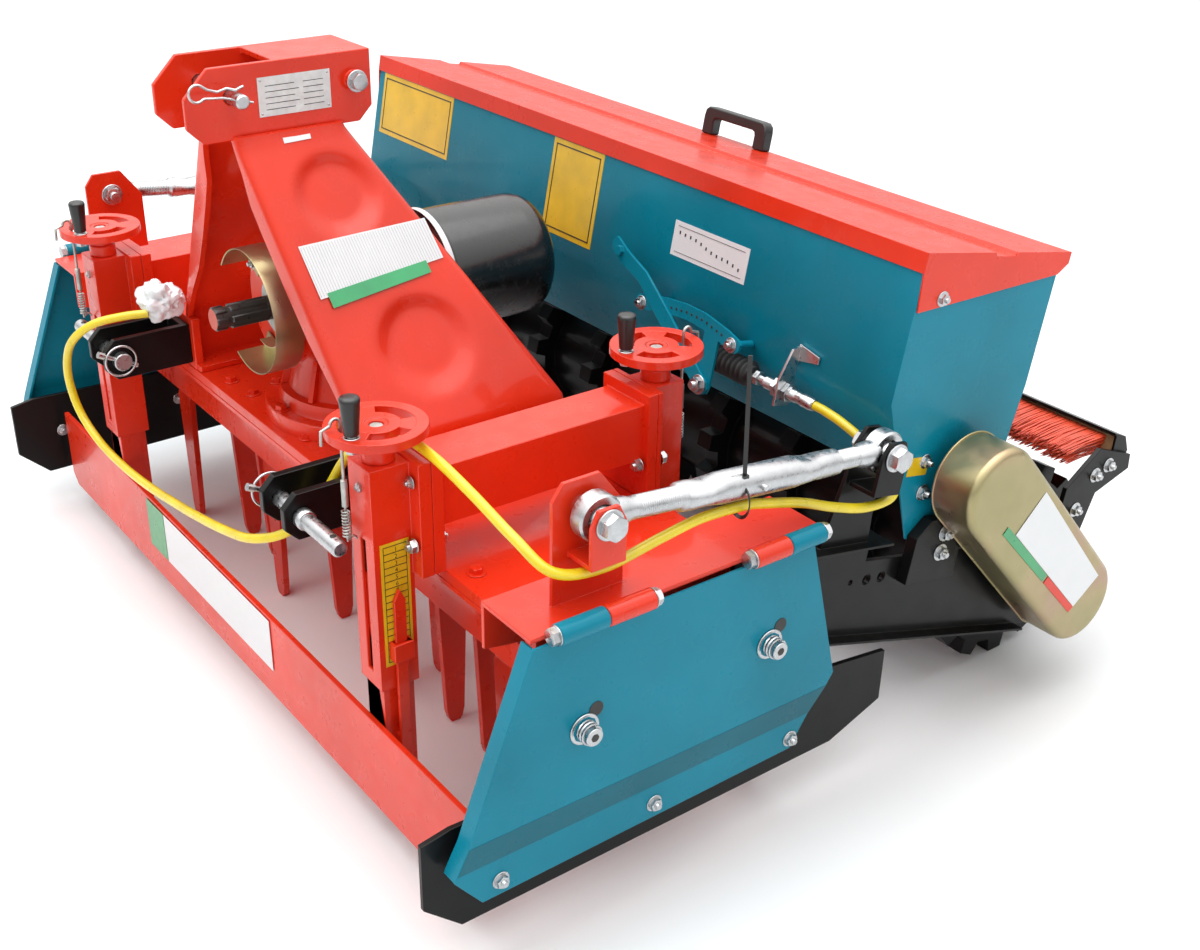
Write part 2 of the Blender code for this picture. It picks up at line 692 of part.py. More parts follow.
def build_lower_hitch(frame):
    """Build the lower hitch forks and their pins."""
    low = LOWER_PIN_Z - CLEVIS_HEIGHT / 2
    high = LOWER_PIN_Z + CLEVIS_HEIGHT / 2
    corner = 0.018
    side = [(CLEVIS_FRONT + corner, low), (CLEVIS_BACK, low), (CLEVIS_BACK, high), (CLEVIS_FRONT + corner, high),
            (CLEVIS_FRONT, high - corner), (CLEVIS_FRONT, low + corner)]
    shape = prism("X", side, CLEVIS_INNER_X, CLEVIS_OUTER_X)
    cut(shape, box(CLEVIS_INNER_X + CLEVIS_SHEET, CLEVIS_OUTER_X - CLEVIS_SHEET, CLEVIS_FRONT - 0.01,
                   CLEVIS_BACK - CLEVIS_SHEET, low - 0.01, high + 0.01))
    cut(shape, bore("X", (LOWER_PIN_Y, LOWER_PIN_Z), LOWER_PIN_R, 0.2, 0.4))
    pair("hitch_clevis", shape, BLACK, frame)

    collar = CLEVIS_OUTER_X + PIN_HEAD_PLAY
    inner = CLEVIS_INNER_X - GAP
    steps = [(inner - 0.012, 0.014), (inner, 0.014), (inner, LOWER_PIN_R), (collar, LOWER_PIN_R),
             (collar, 0.0140), (collar + 0.012, 0.0140), (collar + 0.014, LOWER_PIN_R),
             (LOWER_PIN_END - 0.002, LOWER_PIN_R), (LOWER_PIN_END, LOWER_PIN_R - 0.002)]
    pin = stepped("X", (LOWER_PIN_Y, LOWER_PIN_Z), steps, sides_for(LOWER_PIN_R))
    cut(pin, rod("Z", (LOWER_PIN_END - 0.018, LOWER_PIN_Y), 0.0045, 0.42, 0.47, 8))
    pair("hitch_pin", pin, ZINC, frame)


# Harrow: levellers on their screw posts, side beams

def wheel_slot(start_degrees):
    """Make one curved slot of a handwheel."""
    inner, outer = 0.030, 0.047
    corners = []
    steps = 4
    for radius, order in ((outer, range(steps)), (inner, reversed(range(steps)))):
        for i in order:
            angle = math.radians(start_degrees + 76 * i / (steps - 1))
            corners.append((radius * math.cos(angle), radius * math.sin(angle)))
    return prism("Z", corners, WHEEL_Z - 0.05, WHEEL_Z + 0.05)


def build_handwheel(name, x, y, grip_degrees, frame):
    """Build a handwheel with its collar, its screw spindle and its grip."""
    half = WHEEL_THICKNESS / 2
    rim = WHEEL_R
    shape = stepped("Z", (0.0, 0.0), [(WHEEL_Z - half, rim - 0.0015), (WHEEL_Z - half + 0.0015, rim),
                                      (WHEEL_Z + half - 0.0015, rim), (WHEEL_Z + half, rim - 0.0015)], 24)
    cut(shape, gather([wheel_slot(a + grip_degrees + 22) for a in (0, 120, 240)]))
    collar = stepped("Z", (0.0, 0.0), [(POST_TOP + GAP, WHEEL_COLLAR_R), (POST_TOP + 0.018, WHEEL_COLLAR_R),
                                       (POST_TOP + 0.018, 0.016), (WHEEL_Z, 0.016)])
    union(shape, collar)
    union(shape, rod("Z", (0.0, 0.0), SPINDLE_R, SPINDLE_BOTTOM, WHEEL_Z))
    angle = math.radians(grip_degrees)
    spot = (GRIP_RADIUS * math.cos(angle), GRIP_RADIUS * math.sin(angle))
    foot = WHEEL_Z + half
    grip = stepped("Z", spot, [(WHEEL_Z, 0.007), (foot + 0.003, 0.007), (foot + 0.003, 0.0095),
                               (foot + GRIP_HEIGHT - 0.002, 0.0125), (foot + GRIP_HEIGHT, 0.0115)], 10)
    union(shape, grip)
    shape.data.transform(Matrix.Translation((x, y, 0.0)))
    finish(name, shape, RED, frame, origin=(x, y, WHEEL_Z), smooth=True)


def post_shape(y, slot_side):
    """Build a post about its own place: tube, top plate, spindle bore, slot and guide strap."""
    half = POST_SIZE / 2
    x = POST_X
    shape = box(x - half, x + half, y - half, y + half, POST_BOTTOM, POST_TOP)
    strap_low, strap_high = 0.286, 0.312
    union(shape, box(x + half - 0.002, x + half + 0.0150, y - 0.014, y + 0.014, strap_low, strap_high))
    inner = half - POST_WALL
    cut(shape, box(x - inner, x + inner, y - inner, y + inner, POST_BOTTOM - 0.01, POST_TOP - 0.006))
    cut(shape, bore("Z", (x, y), SPINDLE_R, POST_TOP - 0.02, POST_TOP + 0.02))
    cut(shape, box(x + half + 0.0025, x + half + 0.0095, y - 0.0090, y + 0.0090, strap_low - 0.01,
                   strap_high + 0.01))
    slot_y = y + slot_side * half
    cut(shape, box(x - 0.006, x + 0.006, slot_y - 0.010, slot_y + 0.010, 0.262, 0.452))
    return shape


def build_posts(frame):
    """Build the four screw posts, each with the plate that joins it to its beam."""
    half = POST_SIZE / 2
    front = post_shape(POST_FRONT_Y, -1)
    beam_front = POST_FRONT_Y + half + JOINT_FLANGE + GAP
    union(front, box(POST_X - JOINT_FLANGE_HALF, POST_X + JOINT_FLANGE_HALF, POST_FRONT_Y + half - 0.002,
                     beam_front - GAP, COVER_Z + GAP, JOINT_FLANGE_TOP))
    pair("post_front", front, RED, frame)

    rear = post_shape(POST_REAR_Y, 1)
    beam_rear = POST_REAR_Y - half - 0.006
    union(rear, box(POST_X - JOINT_FLANGE_HALF, POST_X + JOINT_FLANGE_HALF, beam_rear, POST_REAR_Y - half + 0.002,
                    COVER_Z + GAP, JOINT_FLANGE_TOP))
    pair("post_rear", rear, RED, frame)

    front_face = beam_front
    rear_face = beam_rear - GAP
    beam = box(POST_X - BEAM_HALF, POST_X + BEAM_HALF, front_face + 0.002, rear_face - 0.002, BEAM_BOTTOM, BEAM_TOP)
    for y0, y1 in ((front_face, front_face + JOINT_FLANGE), (rear_face - JOINT_FLANGE, rear_face)):
        union(beam, box(POST_X - JOINT_FLANGE_HALF, POST_X + JOINT_FLANGE_HALF, y0, y1, COVER_Z + GAP,
                        JOINT_FLANGE_TOP))
    inner = BEAM_HALF - BEAM_WALL
    cut(beam, box(POST_X - inner, POST_X + inner, front_face - 0.01, rear_face + 0.01, BEAM_BOTTOM + BEAM_WALL,
                  BEAM_TOP - BEAM_WALL))
    pair("side_beam", beam, RED, frame)


def build_leveller(name, y, plate_side, half_width, frame):
    """Build a levelling board with the inner tubes that slide in its two posts."""
    half = INNER_TUBE / 2
    face = y + plate_side * (POST_SIZE / 2 - 0.001)
    back = face + plate_side * LEVELLER_SHEET
    y0, y1 = sorted((face, back))
    chamfer = LEVELLER_CHAMFER
    outline = [(-half_width + chamfer, LEVELLER_BOTTOM), (half_width - chamfer, LEVELLER_BOTTOM),
               (half_width, LEVELLER_BOTTOM + chamfer), (half_width, LEVELLER_TOP),
               (-half_width, LEVELLER_TOP), (-half_width, LEVELLER_BOTTOM + chamfer)]
    shape = prism("Y", outline, y0, y1)
    tubes = []
    for side in (-1, 1):
        x = side * POST_X
        tube = box(x - half, x + half, y - half, y + half, LEVELLER_BOTTOM + 0.025, INNER_TOP)
        inner = half - INNER_WALL
        cut(tube, box(x - inner, x + inner, y - inner, y + inner, LEVELLER_BOTTOM, INNER_TOP + 0.01))
        pad_y = sorted((y + plate_side * (half - 0.002), face + plate_side * 0.002))
        strip = sorted((side * (POST_X + POST_SIZE / 2 + 0.0031), side * (POST_X + POST_SIZE / 2 + 0.0089)))
        union(tube, box(x - 0.020, x + 0.020, pad_y[0], pad_y[1], LEVELLER_BOTTOM + 0.03, LEVELLER_TOP - 0.012))
        foot = sorted((side * (POST_X + half - 0.002), strip[1] if side > 0 else strip[0]))
        union(tube, box(foot[0], foot[1], y - 0.008, y + 0.008, LEVELLER_BOTTOM + 0.04, LEVELLER_TOP - 0.02))
        pointer = [(y - 0.008, LEVELLER_BOTTOM + 0.04), (y + 0.008, LEVELLER_BOTTOM + 0.04), (y + 0.008, 0.372),
                   (y, 0.388), (y - 0.008, 0.372)]
        union(tube, prism("X", pointer, strip[0], strip[1]))
        tubes.append(tube)
    union(shape, gather(tubes))
    finish(name, shape, RED, frame, origin=(0.0, y, POST_TOP))


# Harrow: sides

def build_side_angle(frame):
    """Build the angle on the trough's end: tilt pivot, link lug, hinge rod and fixed knuckles."""
    inner, top = SIDE_PLATE_X, SIDE_TOP
    plate = [(SIDE_FRONT, SIDE_TOP), (SIDE_FRONT, 0.392), (-0.060, SIDE_BOTTOM), (SIDE_REAR, SIDE_BOTTOM),
             (SIDE_REAR, SIDE_TOP)]
    shape = prism("X", plate, inner, inner + SIDE_SHEET)
    union(shape, box(inner + 0.001, SHIELD_X - 0.003, SIDE_FRONT, SIDE_REAR, top - SIDE_SHEET, top))
    pivot = stepped("X", (PIVOT_Y, PIVOT_Z), [(inner + 0.002, 0.022), (ARM_X - GAP, 0.022), (ARM_X - GAP, PIVOT_R),
                                              (ARM_X + ARM_SHEET + GAP, PIVOT_R)], sides_for(PIVOT_R))
    union(shape, pivot)
    head_start = ARM_X + ARM_SHEET + GAP
    union(shape, stepped("X", (PIVOT_Y, PIVOT_Z), [(head_start - 0.0002, PIVOT_R), (head_start, 0.019),
                                                   (head_start + 0.008, 0.019)], sides_for(PIVOT_R)))
    link_inner = LINK_X - LINK_BALL_HALF - GAP
    link_outer = LINK_X + LINK_BALL_HALF + GAP
    upright = [(LINK_FRONT_Y - 0.045, top - 0.003), (LINK_FRONT_Y + 0.055, top - 0.003),
               (LINK_FRONT_Y + 0.055, 0.560), (LINK_FRONT_Y + 0.020, LINK_FRONT_Z + 0.040),
               (LINK_FRONT_Y - 0.030, LINK_FRONT_Z + 0.040), (LINK_FRONT_Y - 0.045, LINK_FRONT_Z + 0.020)]
    union(shape, prism("X", upright, link_inner - LUG_SHEET, link_inner))
    lug_low = LINK_FRONT_Z - LINK_EYE_R - 0.022
    lug = [(LINK_FRONT_Y - 0.024, lug_low), (LINK_FRONT_Y + 0.024, lug_low), (LINK_FRONT_Y + 0.024, LINK_FRONT_Z),
           (LINK_FRONT_Y + 0.014, LINK_FRONT_Z + 0.020), (LINK_FRONT_Y - 0.014, LINK_FRONT_Z + 0.020),
           (LINK_FRONT_Y - 0.024, LINK_FRONT_Z)]
    union(shape, prism("X", lug, link_outer, link_outer + LUG_SHEET))
    union(shape, box(link_inner - 0.002, link_outer + LUG_SHEET, LINK_FRONT_Y - 0.024, LINK_FRONT_Y + 0.024,
                     lug_low - LUG_SHEET, lug_low + 0.0005))
    union(shape, link_bolt(LINK_FRONT_Y, LINK_FRONT_Z))
    return shape


def link_bolt(y, z):
    """Make the bolt that carries a turnbuckle eye between the two plates of a lug."""
    link_inner = LINK_X - LINK_BALL_HALF - GAP
    link_outer = LINK_X + LINK_BALL_HALF + GAP
    bolt = rod("X", (y, z), LINK_PIN_R, link_inner - LUG_SHEET - 0.010, link_outer + LUG_SHEET + 0.004)
    union(bolt, hex_head("X", (y, z), link_outer + LUG_SHEET - 0.001, LINK_BOLT_END, 0.0135))
    union(bolt, hex_head("X", (y, z), link_inner - LUG_SHEET - 0.012, link_inner - LUG_SHEET + 0.001, 0.0135))
    return bolt


FIXED_KNUCKLES = ((-0.318, -0.252), (-0.100, -0.045))
SHIELD_KNUCKLES = ((-0.384, -0.3185), (-0.0445, 0.012))


def build_sides(frame):
    """Build both side angles, and both shields with the skid plates that they carry."""
    shape = build_side_angle(frame)
    for y0, y1 in FIXED_KNUCKLES:
        union(shape, rod("Y", (HINGE_X, HINGE_Z), KNUCKLE_R, y0, y1))
        union(shape, box(SHIELD_X - 0.006, HINGE_X, y0 + 0.001, y1 - 0.001, SIDE_TOP - SIDE_SHEET, SIDE_TOP))
    for (y0, y1), (a, b) in zip(FIXED_KNUCKLES, SHIELD_KNUCKLES):
        low, high = min(y0, a), max(y1, b)
        union(shape, rod("Y", (HINGE_X, HINGE_Z), HINGE_ROD_R, low - 0.002, high + 0.002))
    pair("side_angle", shape, RED, frame)

    outline = [(-0.411, 0.4460), (-0.517, 0.167), (-0.480, 0.120), (0.002, 0.129), (0.066, 0.228), (0.008, 0.4460)]
    inner, outer = SHIELD_X, SHIELD_X + SHIELD_SHEET
    shield = prism("X", outline, inner, outer)
    lip = [(-0.411, 0.4460), (-0.517, 0.167), (-0.513, 0.1655), (-0.4069, 0.4445)]
    union(shield, prism("X", lip, inner - 0.020, outer - 0.001))
    for y0, y1 in SHIELD_KNUCKLES:
        union(shield, box(inner, outer, y0 + 0.001, y1 - 0.001, 0.440, HINGE_Z + 0.002))
        union(shield, rod("Y", (HINGE_X, HINGE_Z), KNUCKLE_R, y0, y1))
        cut(shield, bore("Y", (HINGE_X, HINGE_Z), HINGE_ROD_R, y0 - 0.01, y1 + 0.01))
    for y, z in ((-0.341, 0.312), (-0.056, 0.319)):
        stud = stepped("X", (y, z), [(inner - 0.004, 0.008), (outer - 0.001, 0.008), (outer - 0.001, 0.017),
                                     (outer + 0.003, 0.017), (outer + 0.003, 0.010), (STUD_END, 0.010)], 10)
        union(shield, stud)
    pair("side_shield", shield, TEAL, frame, origin=(HINGE_X, 0.0, HINGE_Z))

    skid_outline = [(-0.540, 0.208), (-0.540, 0.113), (-0.489, 0.065), (0.115, 0.070), (0.208, 0.105),
                    (0.209, 0.186), (0.100, 0.200), (-0.500, 0.215)]
    skid = prism("X", skid_outline, SKID_X, SKID_X + SKID_SHEET)
    spacers = []
    for y, z in ((-0.455, 0.142), (-0.228, 0.147), (0.000, 0.146)):
        spacers.append(rod("X", (y, z), 0.010, SKID_X + 0.002, SHIELD_X - GAP, 8))
    union(skid, gather(spacers))
    pair("skid_plate", skid, BLACK, frame, origin=(HINGE_X, 0.0, HINGE_Z))


def build_turnbuckles(frame):
    """Build the adjustable links: a tube with its front eye, and the rear eye screwed into it."""
    length = math.hypot(LINK_REAR_Y - LINK_FRONT_Y, LINK_REAR_Z - LINK_FRONT_Z)
    slope = math.atan2(LINK_REAR_Z - LINK_FRONT_Z, LINK_REAR_Y - LINK_FRONT_Y)
    centre = (LINK_X, 0.0)

    def eye(y, clearance):
        """Make one eye about the X axis at a place along the link, and the cutter of its bore."""
        ring = rod("X", (y, 0.0), LINK_EYE_R, LINK_X - LINK_EYE_HALF, LINK_X + LINK_EYE_HALF)
        union(ring, stepped("X", (y, 0.0), [(LINK_X - LINK_BALL_HALF, LINK_BALL_R - 0.002),
                                            (LINK_X - LINK_EYE_HALF, LINK_BALL_R + 0.003),
                                            (LINK_X + LINK_EYE_HALF, LINK_BALL_R + 0.003),
                                            (LINK_X + LINK_BALL_HALF, LINK_BALL_R - 0.002)]))
        return ring, bore("X", (y, 0.0), LINK_PIN_R, LINK_X - 0.05, LINK_X + 0.05, clearance)

    ring, hole = eye(0.0, SHAFT_CLEARANCE)
    body = union(ring, stepped("Y", centre, [(LINK_EYE_R - 0.006, 0.012), (0.075, LINK_ROD_R),
                                             (LINK_TUBE_START, LINK_ROD_R), (LINK_TUBE_START + 0.001, 0.014),
                                             (LINK_TUBE_START + 0.050, LINK_TUBE_R),
                                             (LINK_TUBE_END - 0.075, LINK_TUBE_R),
                                             (LINK_TUBE_END - 0.055, 0.0145), (LINK_TUBE_END, 0.0145)]))
    union(body, rod("X", (0.232, 0.0), 0.004, LINK_X - 0.026, LINK_X + 0.026, 8))
    cut(body, hole)
    cut(body, bore("Y", centre, LINK_ROD_R, LINK_TUBE_END - 0.110, LINK_TUBE_END + 0.01))
    body.location = (0.0, LINK_FRONT_Y, LINK_FRONT_Z)
    ring, hole = eye(length, LINK_OPEN_CLEARANCE)
    rear = union(ring, rod("Y", centre, LINK_ROD_R, LINK_TUBE_END - 0.080, length - LINK_EYE_R + 0.006))
    cut(rear, hole)
    for name, shape in (("turnbuckle", body), ("turnbuckle_eye", rear)):
        shape.data.transform(Matrix.Rotation(slope, 4, "X"))
        shape.data.transform(Matrix.Translation((0.0, LINK_FRONT_Y, LINK_FRONT_Z)))
        pair(name, shape, ZINC, frame, origin=(LINK_X, LINK_FRONT_Y, LINK_FRONT_Z), smooth=True)


# Seeder unit

def in_unit(y, z):
    """Turn a place of the harrow's frame into the seeder unit's frame."""
    turn = math.radians(TILT_DEGREES)
    dy, dz = y - PIVOT_Y, z - PIVOT_Z
    return dy * math.cos(turn) - dz * math.sin(turn), dy * math.sin(turn) + dz * math.cos(turn)


def build_arms(unit):
    """Build the channel-shaped side arms with the link lugs and the hopper brackets."""
    outline = [(-0.040, 0.045), (0.210, 0.045), (0.212, 0.0), (0.600, -0.018), (0.640, 0.020), (0.640, 0.060),
               (0.700, 0.120), (0.786, 0.104), (0.792, 0.080), (0.720, 0.045), (0.706, -0.030), (0.706, -0.165),
               (0.600, -0.165), (0.100, -0.105), (-0.040, -0.060)]
    shape = prism("X", outline, ARM_X, ARM_X + ARM_SHEET)
    outer = ARM_X + ARM_SHEET
    union(shape, box(ARM_X + 0.001, ARM_FLANGE_X, -0.040, 0.210, 0.041, 0.045))
    lower = [(-0.040, -0.060), (0.100, -0.105), (0.600, -0.165), (0.600, -0.161), (0.100, -0.101), (-0.040, -0.056)]
    union(shape, prism("X", lower, ARM_X + 0.001, ARM_LOWER_FLANGE_X))
    pin_y, pin_z = in_unit(LINK_REAR_Y, LINK_REAR_Z)
    link_inner = LINK_X - LINK_BALL_HALF - GAP
    link_outer = LINK_X + LINK_BALL_HALF + GAP
    column = [(pin_y - 0.050, 0.042), (pin_y + 0.042, 0.042), (pin_y + 0.032, pin_z - 0.045),
              (pin_y + 0.026, pin_z + 0.004), (pin_y + 0.012, pin_z + 0.026), (pin_y - 0.012, pin_z + 0.026),
              (pin_y - 0.026, pin_z + 0.004), (pin_y - 0.032, pin_z - 0.045)]
    union(shape, prism("X", column, link_inner - LUG_SHEET, link_inner))
    lug_low = pin_z - LINK_EYE_R - 0.022
    lug = [(pin_y - 0.024, lug_low), (pin_y + 0.024, lug_low), (pin_y + 0.024, pin_z),
           (pin_y + 0.014, pin_z + 0.020), (pin_y - 0.014, pin_z + 0.020), (pin_y - 0.024, pin_z)]
    union(shape, prism("X", lug, link_outer, link_outer + LUG_SHEET))
    union(shape, box(link_inner - 0.002, link_outer + LUG_SHEET, pin_y - 0.024, pin_y + 0.024,
                     lug_low - LUG_SHEET, lug_low + 0.0005))
    union(shape, link_bolt(pin_y, pin_z))
    bracket = [(0.285, -0.040), (0.385, -0.040), (0.385, 0.056), (0.310, 0.056), (0.285, 0.030)]
    union(shape, prism("X", bracket, HOPPER_HALF + GAP, HOPPER_HALF + 0.0185))
    union(shape, box(outer - 0.004, HOPPER_HALF + 0.0100, 0.290, 0.380, -0.038, -0.012))
    holes = [rod("X", (y, -0.030), r, ARM_X - 0.01, outer + 0.01, 12)
             for y, r in ((0.190, 0.004), (0.222, 0.008), (0.252, 0.008))]
    cut(shape, gather(holes))
    cut(shape, bore("X", (0.0, 0.0), PIVOT_R, ARM_X - 0.01, outer + 0.01))
    cut(shape, bore("X", (ROLLER_Y, ROLLER_Z), AXLE_R, ARM_X - 0.01, outer + 0.01))
    pair("side_arm", shape, BLACK, unit)


def rim_fold():
    """Return the front rim and the fold under it, leaning in so that the lid's top clears them as it opens."""
    reach = LID_TOP - LID_SHEET - LID_HINGE_Z - LID_SWING_GAP
    rim = LID_HINGE_Y - math.sqrt(reach ** 2 - (HOPPER_RIM - LID_HINGE_Z) ** 2)
    fold = LID_HINGE_Z + math.sqrt(reach ** 2 - (LID_HINGE_Y - HOPPER_FRONT) ** 2)
    return (rim, HOPPER_RIM), (HOPPER_FRONT, fold)


def build_hopper(unit):
    """Build the seed hopper from its end panels and its folded sheets, open at the top."""
    t = HOPPER_SHEET
    rim, fold = rim_fold()
    end = [rim, fold, (HOPPER_FRONT, HOPPER_CREASE), (0.283, 0.023), (0.440, 0.023),
           (HOPPER_REAR, 0.240), (HOPPER_REAR, HOPPER_RIM - 0.010)]
    front = [rim, fold, (HOPPER_FRONT, HOPPER_CREASE), (SKIRT_Y, SKIRT_Z),
             (SKIRT_Y + t, SKIRT_Z + 0.001), (HOPPER_FRONT + t, HOPPER_CREASE + 0.001),
             (HOPPER_FRONT + t, fold[1] - 0.001), (rim[0] + t, HOPPER_RIM)]
    front_funnel = [(HOPPER_FRONT + 0.001, 0.236), (THROAT_FRONT - 0.010, THROAT_Z), (THROAT_FRONT, THROAT_Z),
                    (THROAT_FRONT, THROAT_Z + t), (THROAT_FRONT - 0.008, THROAT_Z + t),
                    (HOPPER_FRONT + 0.001, 0.240)]
    rear = [(HOPPER_REAR, HOPPER_RIM - 0.010), (HOPPER_REAR - t, HOPPER_RIM - 0.010), (HOPPER_REAR - t, 0.2410),
            (THROAT_REAR + 0.007, THROAT_Z + t), (THROAT_REAR, THROAT_Z + t), (THROAT_REAR, THROAT_Z),
            (THROAT_REAR + 0.009, THROAT_Z), (HOPPER_REAR, 0.2400)]
    half = HOPPER_HALF
    shape = prism("X", front, -half + 0.001, half - 0.001)
    union(shape, prism("X", front_funnel, -half + 0.001, half - 0.001))
    union(shape, prism("X", end, half - t, half), prism("X", end, -half, -half + t))
    union(shape, prism("X", rear, -half + 0.001, half - 0.001))
    flanges = []
    for side in (-1, 1):
        a, b = sorted((side * (half - 0.001), side * (half + 0.016)))
        flanges.append(stepped("X", (METER_Y, METER_Z), [(a, 0.026 if side > 0 else 0.020),
                                                         (b, 0.020 if side > 0 else 0.026)], 10))
    union(shape, gather(flanges))
    hinge_pins = [rod("X", (LID_HINGE_Y, LID_HINGE_Z), LID_HINGE_R,
                      *sorted((side * (half - 0.001), side * (half + 0.006)))) for side in (-1, 1)]
    union(shape, gather(hinge_pins))
    cut(shape, bore("X", (METER_Y, METER_Z), METER_SHAFT_R, -half - 0.05, half + 0.05))
    finish("hopper", shape, TEAL, unit)


def build_metering(unit):
    """Build the metering housing with its seed cells, and the fluted shaft through it."""
    half = HOPPER_HALF - HOPPER_SHEET - GAP
    y0, y1 = THROAT_FRONT - 0.012, THROAT_REAR + 0.010
    top = THROAT_Z - GAP
    shape = prism("X", [(y0, top), (y0, HOUSING_BOTTOM + 0.016), (y0 + 0.016, HOUSING_BOTTOM),
                        (y1 - 0.016, HOUSING_BOTTOM), (y1, HOUSING_BOTTOM + 0.016), (y1, top)], -half, half)
    pitch = 2 * half / SEED_CELLS
    cells = []
    for i in range(SEED_CELLS):
        x = -half + (i + 0.5) * pitch
        cells.append(box(x - 0.3 * pitch, x + 0.3 * pitch, THROAT_FRONT + 0.002, THROAT_REAR - 0.002,
                         HOUSING_BOTTOM - 0.01, top + 0.01))
    cut(shape, gather(cells))
    cut(shape, bore("X", (METER_Y, METER_Z), METER_SHAFT_R, -half - 0.01, half + 0.01))
    finish("metering_housing", shape, TEAL, unit)

    shaft = rod("X", (METER_Y, METER_Z), METER_SHAFT_R, -half - 0.034, COVER_INNER_X + 0.020)
    fluted = []
    flutes = 4
    for i in range(SEED_CELLS):
        x = -half + (i + 0.5) * pitch
        corners = []
        for k in range(flutes * 2):
            angle = math.pi * k / flutes
            radius = 0.0215 if k % 2 == 0 else 0.0165
            corners.append((METER_Y + radius * math.cos(angle), METER_Z + radius * math.sin(angle)))
        fluted.append(prism("X", corners, x - 0.24 * pitch, x + 0.24 * pitch))
    union(shaft, gather(fluted))
    finish("metering_shaft", shaft, ZINC, unit, origin=(0.0, METER_Y, METER_Z))


def build_chain_cover(unit):
    """Build the rounded chain cover over the two shaft ends."""
    def stadium(radius):
        """List the corners of a stadium about the two shafts."""
        (ay, az), (by, bz) = COVER_UPPER, (ROLLER_Y, ROLLER_Z)
        heading = math.atan2(bz - az, by - ay)
        corners = []
        steps = 8
        for centre, start in (((by, bz), heading - math.pi / 2), ((ay, az), heading + math.pi / 2)):
            for i in range(steps + 1):
                angle = start + math.pi * i / steps
                corners.append((centre[0] + radius * math.cos(angle), centre[1] + radius * math.sin(angle)))
        return corners

    levels = [(COVER_INNER_X, CHAIN_COVER_R)]
    edge = 0.010
    for i in range(4):
        angle = math.pi / 2 * i / 3
        levels.append((COVER_OUTER_X - edge + edge * math.sin(angle), CHAIN_COVER_R - edge * (1 - math.cos(angle))))
    shape = loft([[(x, y, z) for y, z in stadium(r)] for x, r in levels])
    bosses = [rod("X", (0.325, 0.150), 0.011, HOPPER_HALF + GAP, COVER_INNER_X + 0.001, 10),
              rod("X", (0.576, -0.056), 0.011, ARM_X + ARM_SHEET + GAP, COVER_INNER_X + 0.001, 10)]
    union(shape, gather(bosses))
    cut(shape, bore("X", (METER_Y, METER_Z), METER_SHAFT_R, COVER_INNER_X - 0.01,
                   COVER_INNER_X + 0.022))
    cut(shape, bore("X", (ROLLER_Y, ROLLER_Z), AXLE_R, COVER_INNER_X - 0.01,
                   COVER_INNER_X + 0.022))
    finish("chain_cover", shape, GOLD, unit, smooth=True)


def build_roller(unit):
    """Build the packer roller: axle, drum and rings of lugs."""
    centre = (ROLLER_Y, ROLLER_Z)
    shape = rod("X", centre, DRUM_R, -DRUM_HALF, DRUM_HALF, 18)
    disc = DRUM_HALF - DRUM_RECESS
    core, skin = AXLE_R + 0.010, DRUM_R - DRUM_WALL
    recess = [(disc, core), (DRUM_HALF + 0.01, core), (DRUM_HALF + 0.01, skin), (disc, skin)]
    cavity = disc - DRUM_DISC
    cut(shape, turned("X", centre, recess, 18), turned("X", centre, [(-a, r) for a, r in recess], 18))
    cut(shape, turned("X", centre, [(-cavity, core), (cavity, core), (cavity, skin), (-cavity, skin)], 18))
    vents = [rod("X", (ROLLER_Y, ROLLER_Z + 0.080), 0.004, *sorted((side * (disc + 0.005), side * (cavity - 0.005))), 8)
             for side in (-1, 1)]
    cut(shape, gather(vents))
    union(shape, rod("X", centre, AXLE_R, -ARM_X - ARM_SHEET - 0.012, COVER_INNER_X + 0.020))
    rings = []
    turn = math.radians(TILT_DEGREES)
    for i in range(RING_COUNT):
        x = -RING_SPAN + 2 * RING_SPAN * i / (RING_COUNT - 1)
        corners = []
        step = 2 * math.pi / LUGS_PER_RING
        for k in range(LUGS_PER_RING):
            middle = -math.pi / 2 + turn + k * step
            for offset, radius in ((-0.30, ROLLER_ROOT_R), (-0.20, ROLLER_R), (0.20, ROLLER_R),
                                   (0.30, ROLLER_ROOT_R)):
                angle = middle + offset * step
                corners.append((ROLLER_Y + radius * math.cos(angle), ROLLER_Z + radius * math.sin(angle)))
        rings.append(prism("X", corners, x - RING_WIDTH / 2, x + RING_WIDTH / 2))
    rings = gather(rings)
    cut(rings, rod("X", centre, DRUM_R - 0.004, -DRUM_HALF + 0.001, DRUM_HALF - 0.001, 18))
    union(shape, rings)
    finish("packer_roller", shape, BLACK, unit, origin=(0.0, ROLLER_Y, ROLLER_Z))


def build_scraper(unit):
    """Build the scraper bar with a finger for each gap between the rings."""
    half = ARM_X - GAP
    shape = box(-half, half, 0.500, 0.530, 0.085, 0.115)
    fingers = []
    pitch = 2 * RING_SPAN / (RING_COUNT - 1)
    reach = 0.128
    blade = []
    for distance, degrees in ((reach, 106), (reach + 0.010, 100), (reach + 0.075, 112), (reach + 0.066, 118)):
        angle = math.radians(degrees)
        blade.append((ROLLER_Y + distance * math.cos(angle), ROLLER_Z + distance * math.sin(angle)))
    for i in range(RING_COUNT - 1):
        x = -RING_SPAN + pitch * (i + 0.5)
        fingers.append(prism("X", blade, x - 0.030, x + 0.030))
    union(shape, gather(fingers))
    ends = [box(*sorted((side * half, side * (half - 0.010))), 0.500, 0.530, -0.060, 0.100) for side in (-1, 1)]
    union(shape, gather(ends))
    finish("scraper_bar", shape, BLACK, unit)


